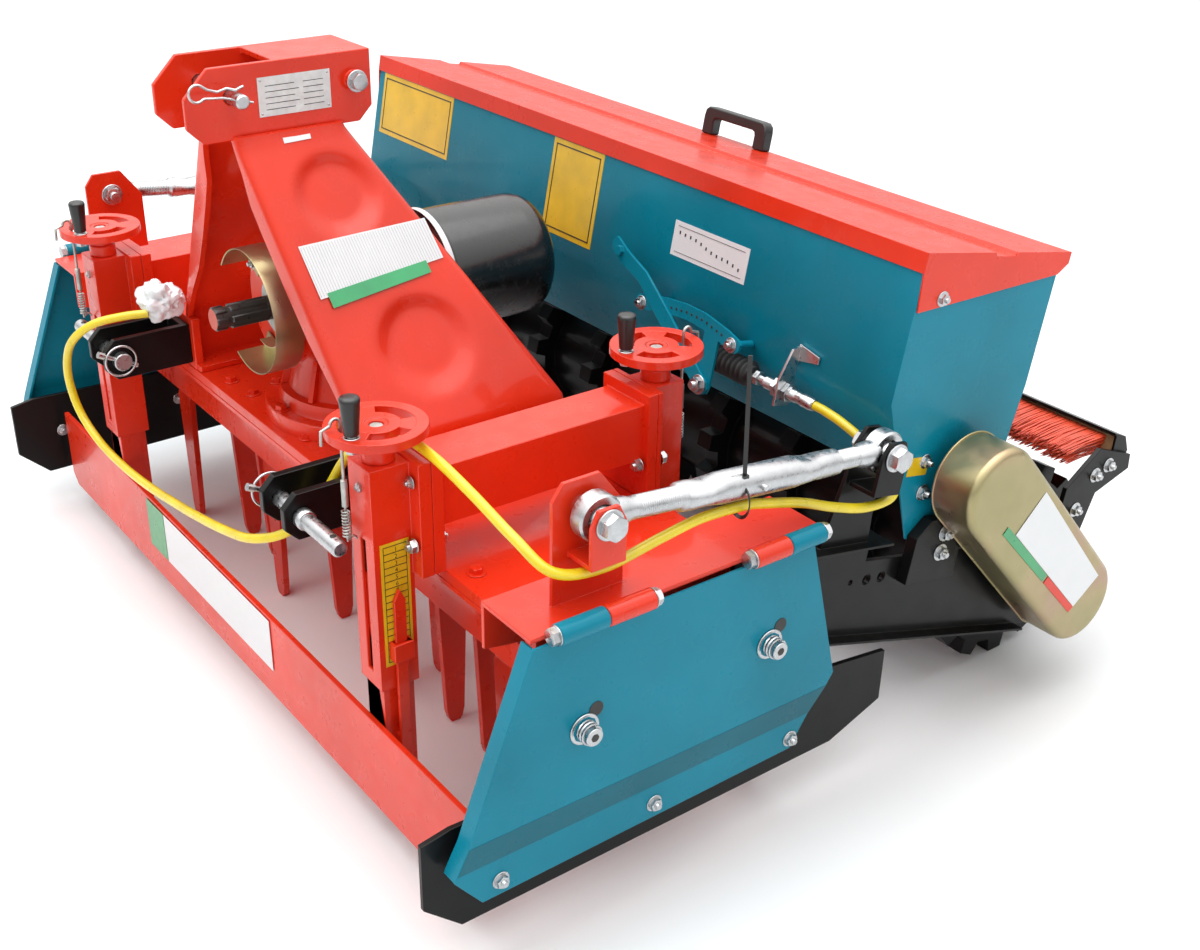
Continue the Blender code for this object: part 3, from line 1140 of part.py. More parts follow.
def build_brush(unit):
    """Build the folded rear cover and the brush that hangs under it."""
    half = ARM_X - GAP
    outer = [(0.742, 0.139), (0.772, 0.132), (0.788, 0.108), (0.784, 0.086), (0.781, 0.0865), (0.785, 0.108),
             (0.7705, 0.129), (0.742, 0.136)]
    cover = prism("X", outer, -half, half)
    plates = [prism("X", [(0.746, 0.137), (0.7725, 0.130), (0.7865, 0.108), (0.782, 0.088), (0.750, 0.092)],
                    *sorted((side * half, side * (half - 0.004)))) for side in (-1, 1)]
    union(cover, gather(plates))
    finish("brush_cover", cover, BLACK, unit)

    backing_y = 0.752
    strip = BRUSH_HALF + 0.0175
    shape = box(-strip, strip, backing_y, backing_y + 0.008, 0.098, 0.1305)
    strands = []
    pitch = 2 * BRUSH_HALF / BRUSH_STRANDS
    for i in range(BRUSH_STRANDS):
        x = -BRUSH_HALF + (i + 0.5) * pitch
        row = i % 3
        root_z = 0.108 + 0.009 * row
        radius = 0.0017
        tip = (x + 0.004 * math.sin(7.0 * i), 0.662 - 0.002 * row, 0.086 + 0.007 * row)
        root = [(x + radius * math.cos(a), backing_y + 0.002, root_z + radius * math.sin(a))
                for a in (0.5, 0.5 + 2 * math.pi / 3, 0.5 + 4 * math.pi / 3)]
        strands.append(object_from(root + [tip], [(0, 1, 2), (0, 1, 3), (1, 2, 3), (2, 0, 3)]))
    union(shape, gather(strands))
    finish("brush", shape, BRISTLE, unit)


def round_corner(x, z, radius, start_degrees):
    """List the points that round an upper corner, from a start angle through a quarter turn."""
    side = 1 if start_degrees == 0 else -1
    angles = [math.radians(start_degrees + 22.5 * i) for i in range(5)]
    return [(x - side * radius + radius * math.cos(a), z - radius + radius * math.sin(a)) for a in angles]


def build_lid(unit):
    """Build the hopper lid: folded sheet, end flaps on the hinge bolts, pressed channel and handle."""
    t = LID_SHEET
    inner_half = HOPPER_HALF + LID_SIDE_GAP
    half = inner_half + t
    top = LID_TOP
    section = [(LID_FRONT, top - LID_FLANGE), (LID_FRONT, top), (0.3150, top), (0.3180, top - 0.005),
               (0.3595, top - 0.005), (0.3625, top), (LID_REAR, top), (LID_REAR, top - 0.016),
               (LID_REAR - t, top - 0.016), (LID_REAR - t, top - t), (0.3612, top - t), (0.3583, top - 0.005 - t),
               (0.3192, top - 0.005 - t), (0.3163, top - t), (LID_FRONT + t, top - t), (LID_FRONT + t, top - LID_FLANGE)]
    shape = prism("X", section, -half, half)
    flap = [(LID_FRONT, top - 0.001), (LID_FRONT, top - LID_FLANGE), (0.1875, 0.353), (0.460, 0.400),
            (LID_REAR, top - 0.016), (LID_REAR, top - 0.001)]
    union(shape, prism("X", flap, inner_half, half), prism("X", flap, -half, -inner_half))
    holes = bore("X", (LID_HINGE_Y, LID_HINGE_Z), LID_HINGE_R, -half - 0.01, half + 0.01)
    cut(shape, holes)
    foot = top - 0.001
    peak = top + HANDLE_RISE
    under = peak - HANDLE_BAR
    near, far = HANDLE_LEFT - HANDLE_LEG, HANDLE_RIGHT + HANDLE_LEG
    arch = [(HANDLE_LEFT, foot)] + round_corner(HANDLE_LEFT, peak, 0.014, 0) + round_corner(HANDLE_RIGHT, peak, 0.014, 90)
    arch += [(HANDLE_RIGHT, foot), (far, foot)] + round_corner(far, under, 0.006, 90)[::-1]
    arch += round_corner(near, under, 0.006, 0)[::-1] + [(near, foot)]
    union(shape, prism("Y", arch, HANDLE_FRONT, HANDLE_REAR))
    finish("hopper_lid", shape, RED, unit, origin=(0.0, LID_HINGE_Y, LID_HINGE_Z))


def build_controls(unit):
    """Build the metering quadrant and lever, and the rod, bellows and bracket of the control cable."""
    wall = HOPPER_FRONT - GAP
    plate_y = 0.1440
    top_edge = [(0.190, 0.262), (0.215, 0.258), (0.249, 0.250), (0.300, 0.243), (0.345, 0.234), (0.385, 0.222),
                (0.408, 0.212), (0.410, 0.240), (0.428, 0.240), (0.432, 0.190)]
    hanger = [(0.422, 0.182), (0.397, 0.193), (0.397, 0.142), (0.390, 0.133), (0.365, 0.133), (0.358, 0.142),
              (0.358, 0.207)]
    bottom_edge = [(0.330, 0.214), (0.290, 0.222), (0.245, 0.229), (0.205, 0.234), (0.190, 0.238)]
    quadrant = prism("Y", top_edge + hanger + bottom_edge, plate_y, plate_y + 0.004)
    cut(quadrant, bore("Y", LEVER_PIVOT, LEVER_PIN_R, plate_y - 0.01, plate_y + 0.01))
    feet = [rod("Y", spot, 0.0065, plate_y + 0.001, wall) for spot in ((0.204, 0.247), (0.4195, 0.2345))]
    union(quadrant, gather(feet))
    lx, lz = LEVER_PIVOT
    finish("dose_quadrant", quadrant, TEAL, unit)

    slope = math.radians(LEVER_DEGREES)
    along = (math.cos(slope), math.sin(slope))
    across = (-along[1], along[0])

    def spot(distance, side):
        """Place a point along the lever and to its side."""
        return (lx + distance * along[0] + side * across[0], lz + distance * along[1] + side * across[1])

    outline = [spot(-0.014, -0.006), spot(-0.014, 0.006), spot(-0.006, 0.012), spot(0.130, 0.013),
               spot(0.200, 0.011), spot(0.255, 0.026), spot(0.278, 0.026), spot(0.286, 0.018), spot(0.284, 0.004),
               spot(0.250, 0.000), spot(0.200, -0.012), spot(0.130, -0.013), spot(-0.006, -0.012)]
    front = plate_y - 0.0045 - GAP
    lever = prism("Y", outline, front, front + 0.0045)
    union(lever, rod("Y", LEVER_PIVOT, LEVER_PIN_R, front - 0.005, plate_y + 0.008))
    union(lever, hex_head("Y", LEVER_PIVOT, front - 0.006, front + 0.001, 0.009))
    union(lever, hex_head("Y", spot(0.262, 0.012), front - 0.006, front + 0.001, 0.008))
    finish("metering_lever", lever, TEAL, unit, origin=(lx, plate_y, lz))

    centre = (BELLOWS_Y, BELLOWS_Z)
    x0, x1 = BELLOWS_START, BELLOWS_END
    ribs = [(x0, 0.013)]
    count = 6
    step = (x1 - x0 - 0.012) / count
    for i in range(count):
        start = x0 + 0.006 + i * step
        ribs += [(start, 0.0145), (start + step * 0.5, 0.0195)]
    ribs += [(x1 - 0.006, 0.0145), (x1, 0.013)]
    bellows = stepped("X", centre, ribs, 12)
    cut(bellows, bore("X", centre, CABLE_ROD_R, x0 - 0.01, x1 + 0.01))
    finish("bellows", bellows, RUBBER, unit, smooth=True)

    cable_rod = stepped("X", centre, [(x0 - 0.050, 0.0075), (x0 - 0.022, 0.0075), (x0 - 0.022, CABLE_ROD_R),
                                      (x1 - 0.015, CABLE_ROD_R)], sides_for(CABLE_ROD_R))
    cut(cable_rod, rod("Y", (x0 - 0.038, BELLOWS_Z), 0.003, 0.1, 0.2, 6))
    finish("cable_rod", cable_rod, ZINC, unit, origin=(x0, BELLOWS_Y, BELLOWS_Z), smooth=True)

    bracket_x = BRACKET_X
    plate = [(BELLOWS_Y - 0.020, BELLOWS_Z - 0.020), (BELLOWS_Y + 0.010, BELLOWS_Z - 0.020),
             (BELLOWS_Y + 0.010, HOPPER_CREASE - 0.002), (wall, HOPPER_CREASE + 0.004), (wall, HOPPER_CREASE + 0.026),
             (BELLOWS_Y - 0.004, HOPPER_CREASE + 0.020), (BELLOWS_Y - 0.020, BELLOWS_Z + 0.018)]
    bracket = prism("X", plate, bracket_x, bracket_x + 0.004)
    foot = [(bracket_x, HOPPER_CREASE + 0.003), (bracket_x + 0.040, HOPPER_CREASE + 0.010),
            (bracket_x + 0.040, HOPPER_CREASE + 0.020), (bracket_x, HOPPER_CREASE + 0.027)]
    union(bracket, prism("Y", foot, wall - 0.004, wall))
    sleeve = stepped("X", centre, [(x1 + GAP, 0.0065), (bracket_x - 0.012, 0.0065), (bracket_x - 0.012, 0.0115),
                                   (bracket_x + 0.016, 0.0115), (bracket_x + 0.016, 0.0085),
                                   (CABLE_START_X - GAP, 0.0085)], 10)
    union(bracket, sleeve)
    finish("cable_bracket", bracket, ZINC, unit)


CABLE_ROUTE = (
    (0.590, 0.1816, 0.5110), (0.620, 0.182, 0.507), (0.655, 0.184, 0.497), (0.692, 0.188, 0.480),
    (0.722, 0.186, 0.459), (0.739, 0.165, 0.447), (0.741, 0.115, 0.449), (0.739, 0.060, 0.466),
    (0.738, 0.004, 0.489), (0.738, -0.060, 0.508), (0.738, -0.092, 0.515), (0.738, -0.157, 0.519),
    (0.738, -0.217, 0.512), (0.738, -0.300, 0.501), (0.730, -0.362, 0.512), (0.680, -0.380, 0.538),
    (0.600, -0.380, 0.555), (0.520, -0.380, 0.568), (0.450, -0.380, 0.570), (0.392, -0.383, 0.565),
    (0.352, -0.390, 0.532), (0.324, -0.404, 0.492), (0.308, -0.420, 0.452), (0.300, -0.445, 0.414), (0.282, -0.480, 0.390),
    (0.235, -0.503, 0.370), (0.164, -0.508, 0.351), (0.070, -0.508, 0.329), (-0.019, -0.507, 0.311),
    (-0.120, -0.507, 0.294), (-0.220, -0.508, 0.285), (-0.310, -0.512, 0.292), (-0.365, -0.520, 0.325),
    (-0.378, -0.527, 0.375), (-0.362, -0.530, 0.425), (-0.332, -0.525, 0.467), (-0.302, -0.500, 0.497),
    (-0.280, -0.460, 0.508), (-0.265, -0.425, 0.510))
CABLE_STEP = 0.033


def smooth_route(points, step):
    """Read points at even steps along a smooth curve through the route's own points."""
    knots = [Vector(p) for p in points]
    knots = [2 * knots[0] - knots[1]] + knots + [2 * knots[-1] - knots[-2]]
    fine = []
    for i in range(1, len(knots) - 2):
        p0, p1, p2, p3 = knots[i - 1:i + 3]
        for k in range(20):
            t = k / 20
            fine.append(0.5 * (2 * p1 + (p2 - p0) * t + (2 * p0 - 5 * p1 + 4 * p2 - p3) * t * t
                               + (3 * p1 - p0 - 3 * p2 + p3) * t * t * t))
    fine.append(knots[-2])
    total = sum((b - a).length for a, b in zip(fine, fine[1:]))
    count = round(total / step)
    spots = [fine[0]]
    walked = 0.0
    for a, b in zip(fine, fine[1:]):
        length = (b - a).length
        while len(spots) < count and walked + length >= len(spots) * total / count:
            share = (len(spots) * total / count - walked) / length
            spots.append(a.lerp(b, share))
        walked += length
    return spots + [fine[-1]], total


def build_cable(frame, unit):
    """Lay the control cable from its bracket along the harrow to its free end at the far hitch."""
    bpy.context.view_layer.update()
    start = Vector((CABLE_START_X, BELLOWS_Y, BELLOWS_Z))
    start = frame.matrix_world.inverted() @ unit.matrix_world @ start
    spots, length = smooth_route(CABLE_ROUTE, CABLE_STEP)
    spots = [start] + spots
    curve = bpy.data.curves.new("control_cable", "CURVE")
    curve.dimensions = "3D"
    curve.bevel_depth = CABLE_R
    curve.bevel_resolution = 2
    curve.use_fill_caps = True
    spline = curve.splines.new("POLY")
    spline.points.add(len(spots) - 1)
    for point, spot in zip(spline.points, spots):
        point.co = (*spot, 1.0)
    curve.materials.append(material(CABLE))
    cable = bpy.data.objects.new("control_cable", curve)
    cable.parent = frame
    bpy.context.scene.collection.objects.link(cable)
    print("control cable", len(spots), "points, length", round(length + (start - spots[1]).length, 4))


def centre_on_floor(frame):
    """Put the machine's middle over the origin, with its lowest points on the floor."""
    bpy.context.view_layer.update()
    lows = Vector((1e9, 1e9, 1e9))
    highs = -lows
    for item in bpy.context.scene.objects:
        if item.type != "MESH" or item.name == "control_cable":
            continue
        for vertex in item.data.vertices:
            place = item.matrix_world @ vertex.co
            for k in range(3):
                lows[k] = min(lows[k], place[k])
                highs[k] = max(highs[k], place[k])
    frame.location = (-(lows.x + highs.x) / 2, -(lows.y + highs.y) / 2, -lows.z)
    bpy.context.view_layer.update()
    print("frame moved by", tuple(round(v, 6) for v in frame.location), "size", tuple(highs - lows))


def main():
    """Build the whole machine."""
    for item in list(bpy.data.objects):
        bpy.data.objects.remove(item)
    frame = empty("harrow_frame")
    build_trough(frame)
    build_cover(frame)
    build_rotors(frame)
    build_gearbox(frame)
    build_pto(frame)
    build_tower(frame)
    build_top_hitch(frame)
    build_lower_hitch(frame)
    build_posts(frame)
    for side_name, x in (("left", POST_X), ("right", -POST_X)):
        front_grip = 295 if x > 0 else 303
        build_handwheel("handwheel_front_" + side_name, x, POST_FRONT_Y, front_grip, frame)
        build_handwheel("handwheel_rear_" + side_name, x, POST_REAR_Y, 265, frame)
    build_leveller("front_leveller", POST_FRONT_Y, -1, LEVELLER_HALF, frame)
    build_leveller("rear_leveller", POST_REAR_Y, 1, REAR_LEVELLER_HALF, frame)
    build_sides(frame)
    build_turnbuckles(frame)

    unit = empty("seeder_frame", frame, (0.0, PIVOT_Y, PIVOT_Z))
    unit.rotation_euler.x = -math.radians(TILT_DEGREES)
    build_arms(unit)
    build_hopper(unit)
    build_metering(unit)
    build_chain_cover(unit)
    build_roller(unit)
    build_scraper(unit)
    build_brush(unit)
    build_lid(unit)
    build_controls(unit)
    build_cable(frame, unit)
    centre_on_floor(frame)


main()
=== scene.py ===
"""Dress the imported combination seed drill: finer pieces, fasteners, finishes, floor, lights and camera.

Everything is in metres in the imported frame: +X to the machine's left (the chain side), +Y rearward,
+Z up. Places on the harrow are written in the harrow's own frame and places on the seeder unit in
the unit's tilted frame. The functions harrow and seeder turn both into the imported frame, and piece
and Parts.add choose between them by the body.
"""
import json
import logging
import math
from dataclasses import dataclass
from enum import Enum
from typing import Callable, Dict, List, Optional, Sequence, Tuple

import bmesh
import bpy
import numpy as np
from mathutils import Matrix, Vector, noise

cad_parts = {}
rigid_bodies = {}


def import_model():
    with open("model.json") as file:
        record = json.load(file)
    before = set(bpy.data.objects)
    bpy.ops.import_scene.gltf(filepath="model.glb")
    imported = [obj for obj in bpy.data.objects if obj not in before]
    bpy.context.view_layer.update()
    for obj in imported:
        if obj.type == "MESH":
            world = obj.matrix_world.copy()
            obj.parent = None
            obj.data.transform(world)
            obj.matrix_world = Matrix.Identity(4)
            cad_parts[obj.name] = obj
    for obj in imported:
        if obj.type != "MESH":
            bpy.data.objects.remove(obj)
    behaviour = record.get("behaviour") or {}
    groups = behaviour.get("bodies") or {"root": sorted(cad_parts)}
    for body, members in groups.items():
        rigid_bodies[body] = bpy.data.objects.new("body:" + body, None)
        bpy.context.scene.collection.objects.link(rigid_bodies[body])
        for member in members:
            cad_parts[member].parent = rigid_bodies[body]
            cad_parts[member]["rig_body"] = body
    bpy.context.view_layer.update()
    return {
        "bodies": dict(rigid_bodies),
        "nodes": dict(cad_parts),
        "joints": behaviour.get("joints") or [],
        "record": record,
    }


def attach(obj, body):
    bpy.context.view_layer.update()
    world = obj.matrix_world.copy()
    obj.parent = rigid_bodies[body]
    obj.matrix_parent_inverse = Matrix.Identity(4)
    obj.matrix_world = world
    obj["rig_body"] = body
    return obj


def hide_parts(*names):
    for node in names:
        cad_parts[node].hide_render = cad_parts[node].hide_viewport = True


LOG = logging.getLogger("seed_drill")
Array = np.ndarray
Place = Tuple[float, float, float]
Placing = Callable[[Array], Array]
Socket = bpy.types.NodeSocket

HARROW_SHIFT = np.array((0.0, -0.117175, 0.0))
UNIT_PIVOT = np.array((0.0, -0.02, 0.36))
UNIT_TILT = math.radians(-10.7)
UNIT = "seeder_unit"
UNIT_BODIES = (UNIT, "lid", "dose_lever")
OTHER_AXES = {"X": (1, 2), "Y": (0, 2), "Z": (0, 1)}
WHOLE = (0.0, 1.0)
COVER_TOP = 0.4003
POST_X = 0.45
TOP_PIN_PLACE = (-0.393, 0.902)
FRONT_EYE = (-0.307, 0.567)
REAR_EYE = (0.145, 0.518)
ROLLER_AXLE = (0.62, -0.083)
MERGE_DISTANCE = 2e-6
LEVEL_DEGREES = 0.6
ROUNDED_DEGREES = 32.0


def harrow(points: Sequence) -> Array:
    """Move places of the harrow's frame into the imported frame."""
    return np.asarray(points, float) + HARROW_SHIFT


def seeder(points: Sequence) -> Array:
    """Turn places of the seeder unit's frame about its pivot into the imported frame."""
    p = np.asarray(points, float)
    cos, sin = math.cos(UNIT_TILT), math.sin(UNIT_TILT)
    turned = np.stack((p[..., 0], cos * p[..., 1] - sin * p[..., 2], sin * p[..., 1] + cos * p[..., 2]), -1)
    return turned + UNIT_PIVOT + HARROW_SHIFT


def unmoved(points: Sequence) -> Array:
    """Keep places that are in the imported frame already."""
    return np.asarray(points, float)


def frame_of(body: str) -> Placing:
    """Give the function that moves a body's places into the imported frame."""
    return seeder if body in UNIT_BODIES else harrow


class Side(Enum):
    """The machine's two sides, with the sign of X on each."""

    LEFT = 1
    RIGHT = -1

    @property
    def word(self) -> str:
        """Give the side's name as the CAD nodes use it."""
        return self.name.lower()


@dataclass
class Shape:
    """Points with the faces between them, which can be moved and joined before it is a mesh."""

    points: Array
    faces: List[List[int]]

    def __add__(self, other: "Shape") -> "Shape":
        """Join two shapes into one."""
        start = len(self.points)
        return Shape(np.vstack((self.points, other.points)),
                     self.faces + [[i + start for i in face] for face in other.faces])

    def mapped(self, function: Placing) -> "Shape":
        """Give the same faces over points that a function has moved."""
        return Shape(function(self.points), self.faces)

    def moved(self, offset: Sequence) -> "Shape":
        """Shift the shape."""
        return Shape(self.points + np.asarray(offset, float), self.faces)

    def aimed(self, place: Sequence, direction: Sequence, spin: float = 0.0) -> "Shape":
        """Turn the shape's +Z to a direction, after a spin about +Z, and put its origin at a place."""
        turn = Vector(direction).to_track_quat("Z", "Y").to_matrix() @ Matrix.Rotation(spin, 3, "Z")
        return Shape(self.points @ np.array(turn).T + np.asarray(place, float), self.faces)

    def mirrored(self, side: Side) -> "Shape":
        """Give the shape for a side: the left one as it is, the right one mirrored in X."""
        if side is Side.LEFT:
            return self
        return Shape(self.points * np.array((-1.0, 1.0, 1.0)), [face[::-1] for face in self.faces])


def joined(shapes: Sequence[Shape]) -> Shape:
    """Join several shapes into one, in their order."""
    sizes = np.cumsum([0] + [len(s.points) for s in shapes])
    faces: List[List[int]] = []
    for start, shape in zip(sizes, shapes):
        faces += [[i + int(start) for i in face] for face in shape.faces]
    return Shape(np.vstack([s.points for s in shapes]), faces)


def grid(points: Array, close_rows: bool = False, close_columns: bool = False, caps: bool = False) -> Shape:
    """Join a grid of points into quads.

    Args:
        points: rows by columns by 3; point (i, j) is joined to (i + 1, j) and (i, j + 1).
        close_rows: join the last row to the first.
        close_columns: join the last column to the first.
        caps: close the first and the last row with one face each.

    Returns:
        The shape, with faces seen against the clock when rows go up and columns go against it.
    """
    rows, columns = points.shape[:2]
    index = np.arange(rows * columns).reshape(rows, columns)
    if close_rows:
        index = np.vstack((index, index[:1]))
    if close_columns:
        index = np.hstack((index, index[:, :1]))
    quads = np.stack((index[:-1, :-1], index[:-1, 1:], index[1:, 1:], index[1:, :-1]), -1).reshape(-1, 4)
    faces = quads.tolist()
    if caps:
        faces.append(np.arange(columns)[::-1].tolist())
        faces.append((np.arange(columns) + (rows - 1) * columns).tolist())
    return Shape(points.reshape(-1, 3), faces)


def solid(rings: Sequence[Array]) -> Shape:
    """Close rings of points, from the bottom up, into a solid."""
    return grid(np.asarray(rings), close_columns=True, caps=True)


def turns(count: int) -> Array:
    """Give the angles of evenly spaced points round a circle."""
    return np.arange(count) * 2 * math.pi / count


def polar(radius: Array, angle: Array, height: Array) -> Array:
    """Give the points (r cos a, r sin a, h) of radii, angles about Z and heights."""
    return np.stack(np.broadcast_arrays(radius * np.cos(angle), radius * np.sin(angle), height), -1)


def spun(profile: Sequence[Tuple[float, float]], sides: int) -> Array:
    """Turn a profile of radii and heights about Z into a grid of points."""
    rings = np.asarray(profile, float)
    return polar(rings[:, :1], turns(sides), rings[:, 1:])


def lathe(profile: Sequence[Tuple[float, float]], sides: int = 48) -> Shape:
    """Turn a profile about Z into a solid.

    Args:
        profile: radius and height of each ring, from the bottom up along the outside.
        sides: the number of points round each ring.

    Returns:
        The solid, with a flat face over the first and the last ring.
    """
    return solid(spun(profile, sides))


def ring_lathe(profile: Sequence[Tuple[float, float]], sides: int = 48) -> Shape:
    """Turn a closed profile about Z into a ring with no end faces."""
    return grid(spun(profile, sides), close_rows=True, close_columns=True)


def slab(outline: Array, low: float, high: float, axis: str = "X") -> Shape:
    """Raise an outline into a plate along an axis.

    Args:
        outline: the two other coordinates of each corner, in the order Y Z, X Z or X Y.
        low: the plate's lowest place along the axis.
        high: its highest place.
        axis: X, Y or Z.

    Returns:
        The closed plate with its faces outwards.
    """
    flat = np.asarray(outline, float)
    following = np.roll(flat, -1, 0)
    area = np.sum(flat[:, 0] * following[:, 1] - following[:, 0] * flat[:, 1])
    wanted = -1 if axis == "Y" else 1
    if area * wanted < 0:
        flat = flat[::-1]
    columns = OTHER_AXES[axis]
    points = np.empty((2, len(flat), 3))
    points[..., columns] = flat
    points[0, :, "XYZ".index(axis)] = low
    points[1, :, "XYZ".index(axis)] = high
    return solid(points)


def block(low: Sequence, high: Sequence) -> Shape:
    """Make a plain bar between two corners, to be rounded by its piece's bevel."""
    (x0, y0, z0), (x1, y1, z1) = low, high
    return slab(np.array(((x0, y0), (x1, y0), (x1, y1), (x0, y1))), z0, z1, "Z")


def tube(path: Sequence, section: Array, closed: bool = False) -> Shape:
    """Carry a section along a path, turned by the least turn from each point to the next.

    Args:
        path: the points of the centreline.
        section: (u, v) offsets across the path, the same at each point, or one set per point.
        closed: join the last point to the first.

    Returns:
        The tube, capped where it is open.
    """
    line = np.asarray(path, float)
    heading = np.roll(line, -1, 0) - np.roll(line, 1, 0)
    if not closed:
        heading[0], heading[-1] = line[1] - line[0], line[-1] - line[-2]
    heading /= np.linalg.norm(heading, axis=1, keepdims=True)
    first = Vector(heading[0]).orthogonal().normalized()
    across = [np.array(first)]
    for before, after in zip(heading[:-1], heading[1:]):
        turn = Vector(before).rotation_difference(Vector(after))
        across.append(np.array(turn @ Vector(across[-1])))
    u = np.array(across)
    v = np.cross(heading, u)
    offsets = np.asarray(section, float)
    if offsets.ndim == 2:
        offsets = np.broadcast_to(offsets, (len(line),) + offsets.shape)
    points = line[:, None] + offsets[..., :1] * u[:, None] + offsets[..., 1:] * v[:, None]
    return grid(points, close_rows=closed, close_columns=True, caps=not closed)


def round_section(radius: float, sides: int = 12) -> Array:
    """List the points of a circle as a tube's section."""
    return polar(radius, turns(sides), 0.0)[:, :2]


def wire(path: Sequence, radius: float, sides: int = 10, closed: bool = False) -> Shape:
    """Make a round wire along a path."""
    return tube(path, round_section(radius, sides), closed)


def arc(centre: Sequence, radius: float, start: float, end: float, steps: int, axis: str = "X") -> Array:
    """List points on an arc about an axis, with angles in degrees from the first other axis."""
    angle = np.radians(np.linspace(start, end, steps))
    points = np.empty((steps, 3))
    first, second = OTHER_AXES[axis]
    along = "XYZ".index(axis)
    points[:, along] = centre[along]
    points[:, first] = centre[first] + radius * np.cos(angle)
    points[:, second] = centre[second] + radius * np.sin(angle)
    return points


def coil(radius: float, wire_radius: float, turns: float, pitch: float) -> Shape:
    """Wind a spring up Z from the origin: (R cos t, R sin t, pitch t / 2 pi)."""
    t = np.linspace(0, 2 * math.pi * turns, int(turns * 14) + 1)
    return wire(polar(radius, t, pitch * t / (2 * math.pi)), wire_radius, 6)


def threaded(radius: float, length: float, pitch: float, sides: int = 28, depth: float = 0.0006) -> Shape:
    """Make a threaded bar up Z: its radius falls by depth times the height's phase less the turn's."""
    rows = max(int(length / pitch * 6), 2)
    height = np.linspace(0, length, rows)[:, None]
    angle = turns(sides)
    phase = (height / pitch - angle / (2 * math.pi)) % 1.0
    r = radius - depth * np.abs(2 * phase - 1)
    return solid(polar(r, angle, height))


def hex_prism(half_across: float, height: float, chamfer: float = 0.18) -> Shape:
    """Make a hexagon head up Z, whose top corners are cut by a cone.

    Args:
        half_across: half the distance between two flats.
        height: the head's height.
        chamfer: how much of the corner is cut, as a share of the height.

    Returns:
        The head. Its rim at angle a is the flat's distance over cos(a within its sixth).
    """
    angle = turns(48)
    within = (angle + math.pi / 6) % (math.pi / 3) - math.pi / 6
    rim = half_across / np.cos(within)
    cut = (rim - half_across) * 0.55
    rings = np.stack((rim, rim, np.minimum(rim, half_across * 1.01), 0 * rim + half_across * 0.92))
    drop = np.stack((0 * rim, height - 0.0002 - cut, 0 * rim + height * (1 - chamfer * 0.15), 0 * rim + height))
    return solid(polar(rings, angle, drop))


def washer(outer: float, thickness: float, inner: float = 0.0) -> Shape:
    """Make a flat washer up Z with softened rims."""
    soft = thickness * 0.3
    profile = [(outer - soft, 0.0), (outer, soft), (outer, thickness - soft), (outer - soft, thickness)]
    if inner > 0.0:
        return ring_lathe(profile + [(inner, thickness), (inner, 0.0)], 32)
    return lathe(profile, 32)


def bolt(place: Sequence, direction: Sequence, half_across: float, height: float, washer_r: float = 0.0,
         stem: float = 0.0, spin: float = 0.3) -> Shape:
    """Make a bolt head or nut that stands on a face.

    Args:
        place: the middle of its foot on the face.
        direction: away from the face.
        half_across: half the distance between two flats.
        height: the head's height.
        washer_r: the washer's radius, or none.
        stem: how far a threaded end stands out of the nut, or none.
        spin: the head's turn about its axis.

    Returns:
        The joined head, washer and stem.
    """
    parts = []
    foot = 0.0
    if washer_r > 0.0:
        foot = washer_r * 0.12
        parts.append(washer(washer_r, foot))
    parts.append(hex_prism(half_across, height).moved((0, 0, foot)))
    if stem > 0.0:
        thread = threaded(half_across * 0.55, stem, 0.0015, 20, 0.0004)
        parts.append(thread.moved((0, 0, foot + height * 0.96)))
    return joined(parts).aimed(place, direction, spin)


class Nodes:
    """Adds nodes to a node tree and wires them."""

    def __init__(self, tree: bpy.types.NodeTree) -> None:
        """Start with an empty tree."""
        self.tree = tree
        self.tree.nodes.clear()

    def node(self, kind: str, **values: object) -> bpy.types.Node:
        """Add one node and set its named inputs, with _ for each space in their names."""
        made = self.tree.nodes.new("ShaderNode" + kind)
        for name, value in values.items():
            made.inputs[name.replace("_", " ")].default_value = value
        return made

    def wire(self, source: Socket, target: Socket) -> None:
        """Link two sockets."""
        self.tree.links.new(source, target)

    def feed(self, source: object, target: Socket) -> None:
        """Link a socket to a target, or give the target a plain value."""
        if isinstance(source, Socket):
            self.wire(source, target)
        else:
            target.default_value = source


